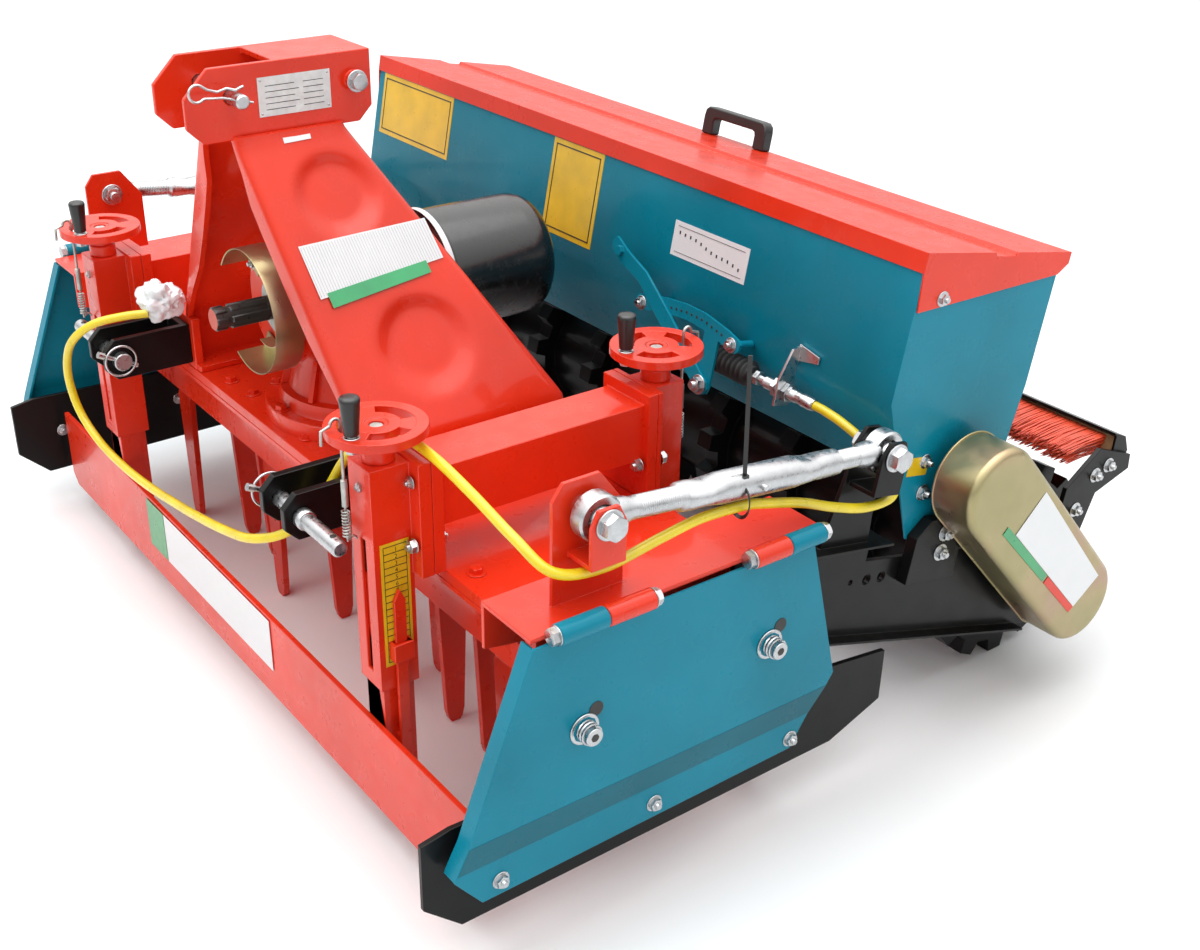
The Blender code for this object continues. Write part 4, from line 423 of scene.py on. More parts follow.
class Shader(Nodes):
    """The nodes of one new material, whose surface is a principled shader."""

    def __init__(self, name: str) -> None:
        """Start the material with a principled surface and Object coordinates."""
        self.material = bpy.data.materials.new(name)
        self.material.use_nodes = True
        super().__init__(self.material.node_tree)
        self.surface = self.node("BsdfPrincipled")
        output = self.node("OutputMaterial")
        self.wire(self.surface.outputs["BSDF"], output.inputs["Surface"])
        self.place = self.node("TexCoord").outputs["Object"]

    def set(self, **values: object) -> None:
        """Set the principled shader's own inputs to values or sockets, with _ for each space in their names."""
        for name, value in values.items():
            self.feed(value, self.surface.inputs[name.replace("_", " ")])

    def noise(self, scale: float, detail: float, stretch: Place = (1.0, 1.0, 1.0)) -> Socket:
        """Add noise over the object's coordinates, stretched by a scale per axis."""
        mapping = self.node("Mapping", Scale=stretch)
        self.wire(self.place, mapping.inputs["Vector"])
        texture = self.node("TexNoise", Scale=scale, Detail=detail)
        self.wire(mapping.outputs["Vector"], texture.inputs["Vector"])
        return texture.outputs["Fac"]

    def cells(self, scale: float) -> Socket:
        """Add a cell pattern with one grey per cell over the object's coordinates."""
        cells = self.node("TexVoronoi", Scale=scale)
        self.wire(self.place, cells.inputs["Vector"])
        grey = self.node("RGBToBW")
        self.wire(cells.outputs["Color"], grey.inputs["Color"])
        return grey.outputs["Val"]

    def spread(self, source: Socket, low: float, high: float, start: float = 0.3, end: float = 0.7) -> Socket:
        """Map a value between start and end to one between low and high."""
        spread = self.node("MapRange", From_Min=start, From_Max=end, To_Min=low, To_Max=high)
        self.wire(source, spread.inputs["Value"])
        return spread.outputs["Result"]

    def drift(self, scale: float, detail: float, low: float, high: float) -> Socket:
        """Let a value drift between low and high over the object."""
        return self.spread(self.noise(scale, detail), low, high)

    def ramp(self, source: Socket, stops: Sequence[Tuple[float, Sequence[float]]]) -> Socket:
        """Colour a value by stops of place and colour."""
        ramp = self.node("ValToRGB")
        elements = ramp.color_ramp.elements
        while len(elements) < len(stops):
            elements.new(0.5)
        for element, (place, colour) in zip(elements, stops):
            element.position = place
            element.color = (*colour, 1.0)
        self.wire(source, ramp.inputs["Fac"])
        return ramp.outputs["Color"]

    def mix(self, factor: Socket, first: object, second: object) -> Socket:
        """Mix two colours, each a socket or a plain colour."""
        mix = self.node("Mix")
        mix.data_type = "RGBA"
        self.wire(factor, mix.inputs["Factor"])
        for value, socket in ((first, mix.inputs[6]), (second, mix.inputs[7])):
            self.feed(value if isinstance(value, Socket) else (*value, 1.0), socket)
        return mix.outputs[2]

    def times(self, first: Socket, second: object) -> Socket:
        """Multiply two values."""
        product = self.node("Math")
        product.operation = "MULTIPLY"
        self.wire(first, product.inputs[0])
        self.feed(second, product.inputs[1])
        return product.outputs[0]

    def facing_up(self, start: float, end: float) -> Socket:
        """Give 0 on upright faces and 1 on level ones, from the face's own direction."""
        normal = self.node("NewGeometry").outputs["Normal"]
        split = self.node("SeparateXYZ")
        self.wire(normal, split.inputs["Vector"])
        return self.spread(split.outputs["Z"], 0.0, 1.0, start, end)

    def bump(self, scale: float, detail: float, distance: float, strength: float) -> None:
        """Bump the surface by noise, over a height in metres."""
        height = self.noise(scale, detail)
        bump = self.node("Bump", Distance=distance, Strength=strength)
        self.wire(height, bump.inputs["Height"])
        self.set(Normal=bump.outputs["Normal"])


def shaded(colour: Sequence[float], factor: float) -> Tuple[float, ...]:
    """Scale a colour."""
    return tuple(min(c * factor, 1.0) for c in colour)


@dataclass(frozen=True)
class Finish:
    """A finish with the record's slot that it stands for."""

    name: str
    slot: str
    colour: Tuple[float, float, float]

    def material(self) -> bpy.types.Material:
        """Give the finish's material, made once."""
        found = bpy.data.materials.get(self.name)
        return found if found else self.build()

    def build(self) -> bpy.types.Material:
        """Make the material."""
        raise NotImplementedError


@dataclass(frozen=True)
class Paint(Finish):
    """Glossy sprayed enamel: slight colour drift, a paler film on level faces that is partly dust and partly painted
    sheen, orange peel and a clear coat.
    """

    roughness: float = 0.3
    coat: float = 0.28
    dust: float = 0.02
    dust_colour: Tuple[float, float, float] = (0.62, 0.45, 0.4)
    specular: float = 0.32

    def build(self) -> bpy.types.Material:
        """Make the paint."""
        shader = Shader(self.name)
        drift = shader.drift(5.0, 4.0, 0.0, 1.0)
        body = shader.mix(drift, shaded(self.colour, 0.86), shaded(self.colour, 1.1))
        streak = shader.spread(shader.noise(14.0, 5.0, (1.0, 1.0, 0.25)), 0.25, 1.0)
        # Painted sheen with a little dust: level faces are mixed towards a paler colour, which lightens the tops as a
        # reflection of the bright sky would.
        film = shader.times(shader.times(shader.facing_up(0.15, 0.95), streak), self.dust)
        shader.set(Base_Color=shader.mix(film, body, self.dust_colour))
        shader.set(Roughness=shader.drift(30.0, 4.0, self.roughness - 0.06, self.roughness + 0.08))
        shader.set(Coat_Weight=self.coat, Coat_Roughness=0.07, Specular_IOR_Level=self.specular)
        shader.bump(300.0, 2.0, 0.0002, 0.16)
        return shader.material


@dataclass(frozen=True)
class Plating(Finish):
    """Zinc plating: metal with faint crystals, cloudy brightness and fine scratches."""

    roughness: float = 0.3
    contrast: float = 0.07

    def build(self) -> bpy.types.Material:
        """Make the plating."""
        shader = Shader(self.name)
        clouds = shader.drift(60.0, 5.0, 0.0, 1.0)
        grain = shader.spread(shader.cells(240.0), 0.0, 1.0, 0.0, 1.0)
        tone = shader.mix(clouds, shaded(self.colour, 1.0 - self.contrast), shaded(self.colour, 1.0 + self.contrast))
        speck = shader.times(grain, 0.12)
        shader.set(Base_Color=shader.mix(speck, tone, shaded(self.colour, 0.62)))
        shader.set(Roughness=shader.drift(150.0, 3.0, self.roughness - 0.08, self.roughness + 0.14))
        shader.set(Metallic=1.0)
        shader.bump(700.0, 3.0, 0.0001, 0.08)
        return shader.material


@dataclass(frozen=True)
class YellowPlating(Finish):
    """Yellow chromate plating, which drifts from olive to gold with rosy and green clouds."""

    def build(self) -> bpy.types.Material:
        """Make the plating."""
        shader = Shader(self.name)
        r, g, b = self.colour
        stops = ((0.3, (r * 0.92, g * 0.95, b * 0.9)), (0.42, self.colour), (0.5, (r * 1.08, g * 0.99, b * 1.05)),
                 (0.58, (r * 1.12, g * 0.9, b * 1.18)), (0.66, (r * 0.95, g * 1.04, b * 0.95)))
        shader.set(Base_Color=shader.ramp(shader.noise(6.0, 2.0), stops))
        shader.set(Roughness=shader.drift(40.0, 4.0, 0.26, 0.42))
        shader.set(Metallic=0.85)
        shader.bump(500.0, 3.0, 0.00012, 0.3)
        return shader.material


@dataclass(frozen=True)
class Moulded(Finish):
    """Moulded plastic or rubber with a fine grain and a little paler film on level faces."""

    roughness: float = 0.45
    coat: float = 0.0
    dust: float = 0.015
    grain: float = 0.25
    drift: float = 0.12

    def build(self) -> bpy.types.Material:
        """Make the plastic."""
        shader = Shader(self.name)
        drift = shader.drift(22.0, 4.0, 0.0, 1.0)
        body = shader.mix(drift, shaded(self.colour, 1.0 - self.drift), shaded(self.colour, 1.0 + self.drift))
        # Level faces are mixed towards grey.
        film = shader.times(shader.facing_up(0.2, 1.0), self.dust)
        shader.set(Base_Color=shader.mix(film, body, (0.4, 0.38, 0.35)))
        shader.set(Roughness=shader.drift(80.0, 3.0, self.roughness - 0.07, self.roughness + 0.09))
        shader.set(Coat_Weight=self.coat, Coat_Roughness=0.12)
        shader.bump(900.0, 2.0, 0.00012, self.grain)
        return shader.material


# The red paint's paler colour on level faces is salmon: painted sheen of the sky's reflection, with a little dust.
RED = Paint("red_enamel", "red_paint", (0.74, 0.031, 0.007), dust=0.02, dust_colour=(0.86, 0.22, 0.14), specular=0.26)
TEAL = Paint("teal_enamel", "teal_paint", (0.003, 0.212, 0.305), coat=0.1, dust=0.01, dust_colour=(0.12, 0.38, 0.44),
             specular=0.14)
BLACK = Paint("black_enamel", "black_paint", (0.005, 0.005, 0.005), roughness=0.34, coat=0.1, dust=0.005,
              dust_colour=(0.25, 0.24, 0.23), specular=0.14)
# A darker copy of the teal paint, laid on the shields' sloping band as painted shade.
TEAL_PAINTED_SHADE = Paint("teal_band_enamel", "teal_paint", (0.003, 0.125, 0.175), coat=0.1, dust=0.0, specular=0.14)
ZINC = Plating("bright_zinc", "zinc_plate", (0.49, 0.5, 0.51))
DULL_ZINC = Plating("dull_zinc", "zinc_plate", (0.42, 0.42, 0.4), roughness=0.46, contrast=0.26)
GOLD = YellowPlating("yellow_chromate", "yellow_zinc", (0.36, 0.31, 0.165))
CAP = Moulded("black_cap_plastic", "black_rubber", (0.006, 0.006, 0.006), roughness=0.22, coat=0.2, dust=0.0)
RUBBER = Moulded("bellows_rubber", "black_rubber", (0.014, 0.014, 0.014), roughness=0.55)
GRIP = Moulded("grip_plastic", "black_rubber", (0.006, 0.006, 0.006), roughness=0.34, coat=0.1, dust=0.0)
GREY_CAP = Moulded("grey_cap_plastic", "black_rubber", (0.16, 0.17, 0.18), roughness=0.5)
SHEATH = Moulded("yellow_sheath_plastic", "yellow_sheath", (0.8, 0.62, 0.01), roughness=0.32, coat=0.3,
                 dust=0.02, grain=0.1)
STRANDS = Moulded("orange_strands", "orange_bristle", (0.78, 0.075, 0.022), roughness=0.42, dust=0.05)
PANEL_WHITE = Moulded("white_film", "teal_paint", (0.78, 0.79, 0.8), roughness=0.36, coat=0.2, dust=0.0, grain=0.03,
                      drift=0.015)
PANEL_GREY = Moulded("grey_print", "teal_paint", (0.56, 0.57, 0.58), roughness=0.36, dust=0.0, grain=0.03, drift=0.03)
PANEL_YELLOW = Moulded("yellow_film", "teal_paint", (0.78, 0.5, 0.012), roughness=0.34, coat=0.3, dust=0.0,
                       grain=0.05)
PANEL_GREEN = Moulded("green_film", "teal_paint", (0.03, 0.34, 0.12), roughness=0.34, coat=0.3, dust=0.0, grain=0.05)
# Black ink for print; the same black is also laid as painted shade in holes and sockets.
INK_AND_HOLE_SHADE = Moulded("black_ink", "black_rubber", (0.015, 0.014, 0.012), roughness=0.45, dust=0.0, grain=0.02)
ALUMINIUM = Plating("engraved_aluminium", "zinc_plate", (0.66, 0.66, 0.65), roughness=0.38, contrast=0.08)
SHAFT_BLACK = Moulded("oiled_steel", "zinc_plate", (0.022, 0.021, 0.02), roughness=0.34, coat=0.2)
SHAFT_END = Paint("shaft_end_paint", "red_paint", (0.55, 0.1, 0.07), roughness=0.5, coat=0.0, dust=0.0)
TAN_BACKING = Moulded("brush_backing", "orange_bristle", (0.42, 0.25, 0.12), roughness=0.7)
FILM = Moulded("wrinkled_film", "yellow_sheath", (0.8, 0.82, 0.84), roughness=0.18, coat=0.5, dust=0.0)


def in_scene(name: str, data: bpy.types.ID) -> bpy.types.Object:
    """Make an object of some data and put it in the scene."""
    item = bpy.data.objects.new(name, data)
    bpy.context.scene.collection.objects.link(item)
    return item


def piece(name: str, shape: Shape, finish: Finish, body: str = "harrow", bevel: float = 0.0, sharp: float = 35.0,
          segments: int = 2, frame: Optional[Placing] = None) -> bpy.types.Object:
    """Make a shape a visible piece that rides on a body.

    Args:
        name: the piece's name.
        shape: its points and faces, in the frame that its body's places are written in.
        finish: its finish.
        body: the CAD body that it moves with.
        bevel: the width of its rounded edges, or none.
        sharp: edges that turn more than this many degrees stay sharp.
        segments: the faces across each rounded edge.
        frame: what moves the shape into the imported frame, where it isn't the body's own.

    Returns:
        The piece's object.
    """
    mesh = bpy.data.meshes.new(name)
    mesh.from_pydata(shape.mapped(frame or frame_of(body)).points.tolist(), [], shape.faces)
    mesh.update()
    return settled(name, mesh, finish, body, bevel, sharp, segments)


def settled(name: str, mesh: bpy.types.Mesh, finish: Finish, body: str, bevel: float, sharp: float,
            segments: int) -> bpy.types.Object:
    """Give a mesh its shading, finish, rounded edges and body."""
    mesh.shade_smooth()
    if not bevel:
        mesh.set_sharp_from_angle(angle=math.radians(sharp))
    mesh.materials.append(finish.material())
    item = in_scene(name, mesh)
    if bevel:
        rounding = item.modifiers.new("rounded_edges", "BEVEL")
        rounding.width = bevel
        rounding.segments = segments
        rounding.limit_method = "ANGLE"
        rounding.angle_limit = math.radians(sharp)
        rounding.harden_normals = True
        rounding.use_clamp_overlap = False
    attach(item, body)
    LOG.info("%s: %d faces on %s", name, len(mesh.polygons), body)
    return item


def softened(frame: Dict, node: str, finish: Finish, bevel: float) -> bpy.types.Object:
    """Stand a copy of a CAD solid, merged and with rounded edges, in the solid's place.

    Args:
        node: the CAD node.
        finish: the copy's finish.
        bevel: the width of its rounded edges, which are those that turn more than ROUNDED_DEGREES.

    Returns:
        The copy's object, which replaces the node.
    """
    source = frame["nodes"][node]
    mesh = source.data.copy()
    mesh.name = node + "_dressed"
    mesh.materials.clear()
    work = bmesh.new()
    work.from_mesh(mesh)
    bmesh.ops.remove_doubles(work, verts=work.verts, dist=MERGE_DISTANCE)
    bmesh.ops.dissolve_limit(work, angle_limit=math.radians(LEVEL_DEGREES), verts=work.verts, edges=work.edges)
    work.to_mesh(mesh)
    work.free()
    for name in [a.name for a in mesh.attributes if a.name in ("custom_normal", "sharp_face", "sharp_edge")]:
        mesh.attributes.remove(mesh.attributes[name])
    item = settled(node + "_dressed", mesh, finish, source["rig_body"], bevel, ROUNDED_DEGREES, 2)
    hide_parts(node)
    return item


# The CAD solids that keep their form: finish, width of the rounded edges, nodes
CARRIED = (
    (RED, 0.0012, ("gear_trough",)), (RED, 0.0015, ("trough_cover",)),
    (RED, 0.0018, ("top_hitch_channel", "side_beam_left", "side_beam_right")),
    (RED, 0.0015, ("post_front_left", "post_front_right", "post_rear_left", "post_rear_right")),
    (RED, 0.001, ("side_angle_left", "side_angle_right")),
    (RED, 0.0012, ("rotor_1", "rotor_2", "rotor_3", "rotor_4", "rotor_5", "rotor_6", "rotor_7",
                   "front_leveller", "rear_leveller")),
    (BLACK, 0.0018, ("hitch_clevis_left", "hitch_clevis_right")),
    (BLACK, 0.0014, ("skid_plate_left", "skid_plate_right")),
    (BLACK, 0.001, ("side_arm_left", "side_arm_right", "scraper_bar")),
    (BLACK, 0.0006, ("brush_cover",)), (BLACK, 0.0012, ("packer_roller",)),
    (TEAL, 0.0007, ("hopper",)), (TEAL, 0.001, ("metering_housing",)), (TEAL, 0.0007, ("metering_lever",)),
    (ZINC, 0.0006, ("cable_bracket",)), (ZINC, 0.0005, ("metering_shaft", "cable_rod")),
)


@dataclass(frozen=True)
class Studio:
    """The camera, the white floor and the soft lights of the photograph."""

    place: Place = (1.8981, -1.304575, 1.372)
    heading: Place = (-0.71628, 0.52538, -0.45926)
    roll: float = math.radians(0.596)
    lens: float = 45.62
    shift: float = 0.01883
    sensor: float = 36.0
    floor_half: float = 14.0
    floor_z: float = -0.0004
    lights_at: Place = (0.0, 0.0, 0.4)
    areas: Tuple[Tuple[str, Place, float, float], ...] = (
        ("overhead", (-0.2, -0.4, 3.4), 3.4, 40.0), ("key", (0.2, -3.4, 2.8), 2.0, 15.0),
        ("fill", (3.8, 0.9, 2.0), 2.2, 5.0))
    ceiling_power: float = 1.35
    ceiling_angle: float = math.radians(70)
    ceiling_from: Place = (0.05, 0.02, 1.0)

    def build(self) -> None:
        """Set up the whole stage."""
        scene = bpy.context.scene
        scene.view_settings.view_transform = "Standard"
        scene.camera = self.camera()
        self.floor()
        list(self.lights())
        self.sky()

    def camera(self) -> bpy.types.Object:
        """Place the camera with its own right and up directions."""
        data = bpy.data.cameras.new("camera")
        data.lens = self.lens
        data.sensor_width = self.sensor
        data.sensor_fit = "HORIZONTAL"
        data.shift_x = self.shift
        data.clip_end = 60.0
        forward = Vector(self.heading).normalized()
        level = forward.cross(Vector((0, 0, 1))).normalized()
        above = level.cross(forward)
        right = math.cos(self.roll) * level + math.sin(self.roll) * above
        up = math.cos(self.roll) * above - math.sin(self.roll) * level
        turn = Matrix((right, up, -forward)).transposed().to_4x4()
        item = in_scene("camera", data)
        item.matrix_world = Matrix.Translation(self.place) @ turn
        return item

    def floor(self) -> bpy.types.Object:
        """Lay a wide white floor under the machine."""
        shader = Shader("studio_floor")
        tone = shader.mix(shader.noise(0.8, 2.0), (0.96, 0.96, 0.96), (0.98, 0.98, 0.98))
        shader.set(Base_Color=tone, Roughness=0.9, Specular_IOR_Level=0.0)
        mesh = bpy.data.meshes.new("studio_floor")
        half, z = self.floor_half, self.floor_z
        mesh.from_pydata([(-half, -half, z), (half, -half, z), (half, half, z), (-half, half, z)], [], [(0, 1, 2, 3)])
        mesh.materials.append(shader.material)
        return in_scene("studio_floor", mesh)

    def lights(self) -> List[bpy.types.Object]:
        """Hang a broad light overhead, a key over the camera's left and a fill on its right."""
        made = []
        for name, place, size, power in self.areas:
            data = bpy.data.lights.new(name, "AREA")
            data.shape = "DISK"
            data.size = size
            data.energy = power
            item = in_scene(name, data)
            item.location = place
            item.rotation_euler = (Vector(self.lights_at) - Vector(place)).to_track_quat("-Z", "Y").to_euler()
            made.append(item)
        data = bpy.data.lights.new("ceiling", "SUN")
        data.energy = self.ceiling_power
        data.angle = self.ceiling_angle
        item = in_scene("ceiling", data)
        item.rotation_euler = Vector(self.ceiling_from).to_track_quat("Z", "Y").to_euler()
        return made + [item]

    def sky(self) -> None:
        """Show plain white to the camera and a pale sky to reflections and to diffuse light."""
        world = bpy.data.worlds.new("studio")
        bpy.context.scene.world = world
        world.use_nodes = True
        sky = Nodes(world.node_tree)
        path, output = sky.node("LightPath"), sky.node("OutputWorld")
        direction, parts = sky.node("TexCoord"), sky.node("SeparateXYZ")
        sky.wire(direction.outputs["Generated"], parts.inputs["Vector"])
        shades = []
        for colour, level, overhead in (((0.97, 0.99, 1.0), 0.32, 1.05), ((1.0, 0.99, 0.98), 0.45, 3.2),
                                        ((1.0, 1.0, 1.0), 1.0, 1.0)):
            shade = sky.node("Background", Color=(*colour, 1.0))
            grade = sky.node("MapRange", To_Min=level, To_Max=overhead)
            sky.wire(parts.outputs["Z"], grade.inputs["Value"])
            sky.wire(grade.outputs["Result"], shade.inputs["Strength"])
            shades.append(shade.outputs["Background"])
        mixed = shades[0]
        for switch, shade in (("Is Glossy Ray", shades[1]), ("Is Transmission Ray", shades[2]),
                              ("Is Camera Ray", shades[2])):
            mix = sky.node("MixShader")
            for source, target in zip((path.outputs[switch], mixed, shade), mix.inputs):
                sky.wire(source, target)
            mixed = mix.outputs["Shader"]
        sky.wire(mixed, output.inputs["Surface"])


@dataclass(frozen=True)
class ControlCable:
    """The yellow control cable from its bracket to its wrapped end at the far hitch."""

    radius: float = 0.0065
    length: float = 2.2982
    film_middle: Place = (-0.279, -0.398, 0.522)
    film_radii: Place = (0.04, 0.034, 0.033)
    start: Place = (0.575, 0.17, 0.186)
    route: Tuple[Place, ...] = (
        (0.59, 0.1816, 0.511), (0.62, 0.182, 0.507), (0.655, 0.184, 0.497), (0.692, 0.188, 0.48),
        (0.722, 0.186, 0.459), (0.739, 0.165, 0.447), (0.741, 0.115, 0.449), (0.739, 0.06, 0.466),
        (0.738, 0.004, 0.489), (0.738, -0.06, 0.508), (0.738, -0.092, 0.515), (0.738, -0.157, 0.519),
        (0.738, -0.217, 0.512), (0.738, -0.3, 0.501), (0.73, -0.362, 0.512), (0.68, -0.38, 0.538),
        (0.6, -0.38, 0.555), (0.52, -0.38, 0.568), (0.45, -0.38, 0.57), (0.392, -0.383, 0.565),
        (0.352, -0.39, 0.532), (0.324, -0.404, 0.492), (0.308, -0.42, 0.452), (0.3, -0.445, 0.414),
        (0.282, -0.48, 0.39), (0.235, -0.503, 0.37), (0.164, -0.508, 0.351), (0.07, -0.508, 0.329),
        (-0.019, -0.507, 0.311), (-0.12, -0.507, 0.294), (-0.22, -0.508, 0.285), (-0.31, -0.512, 0.292),
        (-0.365, -0.52, 0.325), (-0.378, -0.527, 0.375), (-0.362, -0.53, 0.425), (-0.332, -0.525, 0.467),
        (-0.302, -0.5, 0.497), (-0.28, -0.46, 0.508), (-0.265, -0.425, 0.51))

    def path(self) -> Array:
        """Join the route's points by a smooth curve through them.

        Between p1 and p2 with neighbours p0 and p3 the curve is half of 2 p1 + (p2 - p0) t +
        (2 p0 - 5 p1 + 4 p2 - p3) t^2 + (3 p1 - p0 - 3 p2 + p3) t^3.
        """
        knots = harrow(self.route)
        knots = np.vstack((2 * knots[0] - knots[1], knots, 2 * knots[-1] - knots[-2]))
        t = np.linspace(0, 1, 8, endpoint=False)[None, :, None]
        p0, p1, p2, p3 = (knots[i:len(knots) - 3 + i, None] for i in range(4))
        curve = 0.5 * (2 * p1 + (p2 - p0) * t + (2 * p0 - 5 * p1 + 4 * p2 - p3) * t ** 2
                       + (3 * p1 - p0 - 3 * p2 + p3) * t ** 3)
        return np.vstack((seeder([self.start]), curve.reshape(-1, 3), knots[-2:-1]))

    def build(self) -> None:
        """Lay the cable and the film that is wrapped round its end."""
        path = self.path()
        cable = piece("cable_sheath", wire(path, self.radius, 16), SHEATH, sharp=60.0, frame=unmoved)
        film = self.film()
        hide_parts("control_cable")
        measured = float(np.sum(np.linalg.norm(np.diff(path, axis=0), axis=1)))
        LOG.info("cable length %.4f m", measured)

    def film(self) -> bpy.types.Object:
        """Wrap crumpled clear film round the cable's end at the far fork."""
        end = harrow(self.film_middle)
        rows, columns, pole = 40, 56, 0.03
        v = np.linspace(pole, math.pi - pole, rows)[:, None]
        ball = polar(np.sin(v), turns(columns), np.cos(v))
        swell = np.array([[0.92 + 0.38 * noise.noise(Vector(p) * 1.6) - 0.22 * abs(noise.noise(Vector(p) * 3.1))
                           for p in row] for row in ball])
        points = ball * swell[..., None] * self.film_radii + end
        return piece("cable_end_film", solid(points), FILM, sharp=40.0, frame=unmoved)


@dataclass(frozen=True)
class Handwheels:
    """The four red handwheels with their screw spindles, hub nuts and black grips."""

    rim: float = 0.0628
    half_thickness: float = 0.006
    height: float = 0.595
    slot_inner: float = 0.03
    slot_outer: float = 0.047
    slot_degrees: float = 76.0
    grip_radius: float = 0.048
    spindle: float = 0.009
    across: float = POST_X
    front_y: float = -0.4207
    rear_y: float = 0.0026

    def build(self) -> None:
        """Build each wheel on its own screw body."""
        for side in Side:
            front_grip = 295.0 if side is Side.LEFT else 303.0
            self.wheel("front_" + side.word, side.value * self.across, self.front_y, front_grip)
            self.wheel("rear_" + side.word, side.value * self.across, self.rear_y, 265.0)

    def wheel(self, name: str, x: float, y: float, grip: float) -> None:
        """Build one wheel, its spindle and its grip."""
        body, hub = "screw_" + name, (x, y, 0.0)
        shape = self.disc(grip).moved(hub)
        wheel = piece("handwheel_%s_wheel" % name, shape, RED, body, 0.0011, 30.0, 2)
        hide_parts("handwheel_" + name)
        screw = joined((threaded(self.spindle, 0.245, 0.005, 28, 0.001).moved((0, 0, 0.3)),
                        lathe(((0.009, 0.54), (0.009, 0.596), (0.0078, 0.5975)), 28)))
        piece("handwheel_%s_screw" % name, screw.moved(hub), DULL_ZINC, body, sharp=30.0)
        collar = ring_lathe(((0.0092, 0.5533), (0.0195, 0.5533), (0.0205, 0.5543), (0.0205, 0.569), (0.0195, 0.57),
                             (0.016, 0.5705), (0.016, 0.589), (0.0092, 0.589)), 48)
        piece("handwheel_%s_collar" % name, collar.moved(hub), RED, body, sharp=30.0)
        self.grip(name, body, grip, hub)

    def disc(self, grip: float) -> Shape:
        """Join the rim, the hub and the three bridges between the kidney slots."""
        low, top = self.height - self.half_thickness, self.height + self.half_thickness
        third, slot_turn, overlap, inset = 120, 22, 0.002, 0.0003
        rim = ring_lathe(((self.slot_outer, low), (self.rim, low), (self.rim, top), (self.slot_outer, top)), 96)
        hub = ring_lathe(((self.spindle, low), (self.slot_inner, low), (self.slot_inner, top), (0.015, top),
                          (0.014, top - 0.0015), (self.spindle, top - 0.0015)), 72)
        parts = [rim, hub]
        for start in (0, third, 2 * third):
            first = math.radians(start + grip + slot_turn + self.slot_degrees)
            angle = np.linspace(first, first + math.radians(third - self.slot_degrees), 9)
            outer = polar(self.slot_outer + overlap, angle, 0.0)
            inner = polar(self.slot_inner - overlap, angle[::-1], 0.0)
            parts.append(slab(np.vstack((outer, inner))[:, :2], low + inset, top - inset, "Z"))
        return joined(parts)

    def grip(self, name: str, body: str, degrees: float, hub: Place) -> None:
        """Stand the grip on its zinc screw."""
        angle = math.radians(degrees)
        foot = polar(self.grip_radius, angle, self.height + self.half_thickness)
        handle = lathe(((0.007, 0.003), (0.0093, 0.0045), (0.0098, 0.012), (0.0125, 0.046), (0.0125, 0.049),
                        (0.011, 0.0515), (0.007, 0.0525), (0.002, 0.0528)), 32)
        piece("handwheel_%s_grip" % name, handle.moved(foot).moved(hub), GRIP, body, sharp=50.0)
        stem = joined((lathe(((0.0055, -0.018), (0.0055, 0.004)), 20), hex_prism(0.0075, 0.005).moved((0, 0, -0.019)),
                       washer(0.01, 0.0015)))
        piece("handwheel_%s_grip_screw" % name, stem.moved(foot).moved(hub), ZINC, body, sharp=30.0)


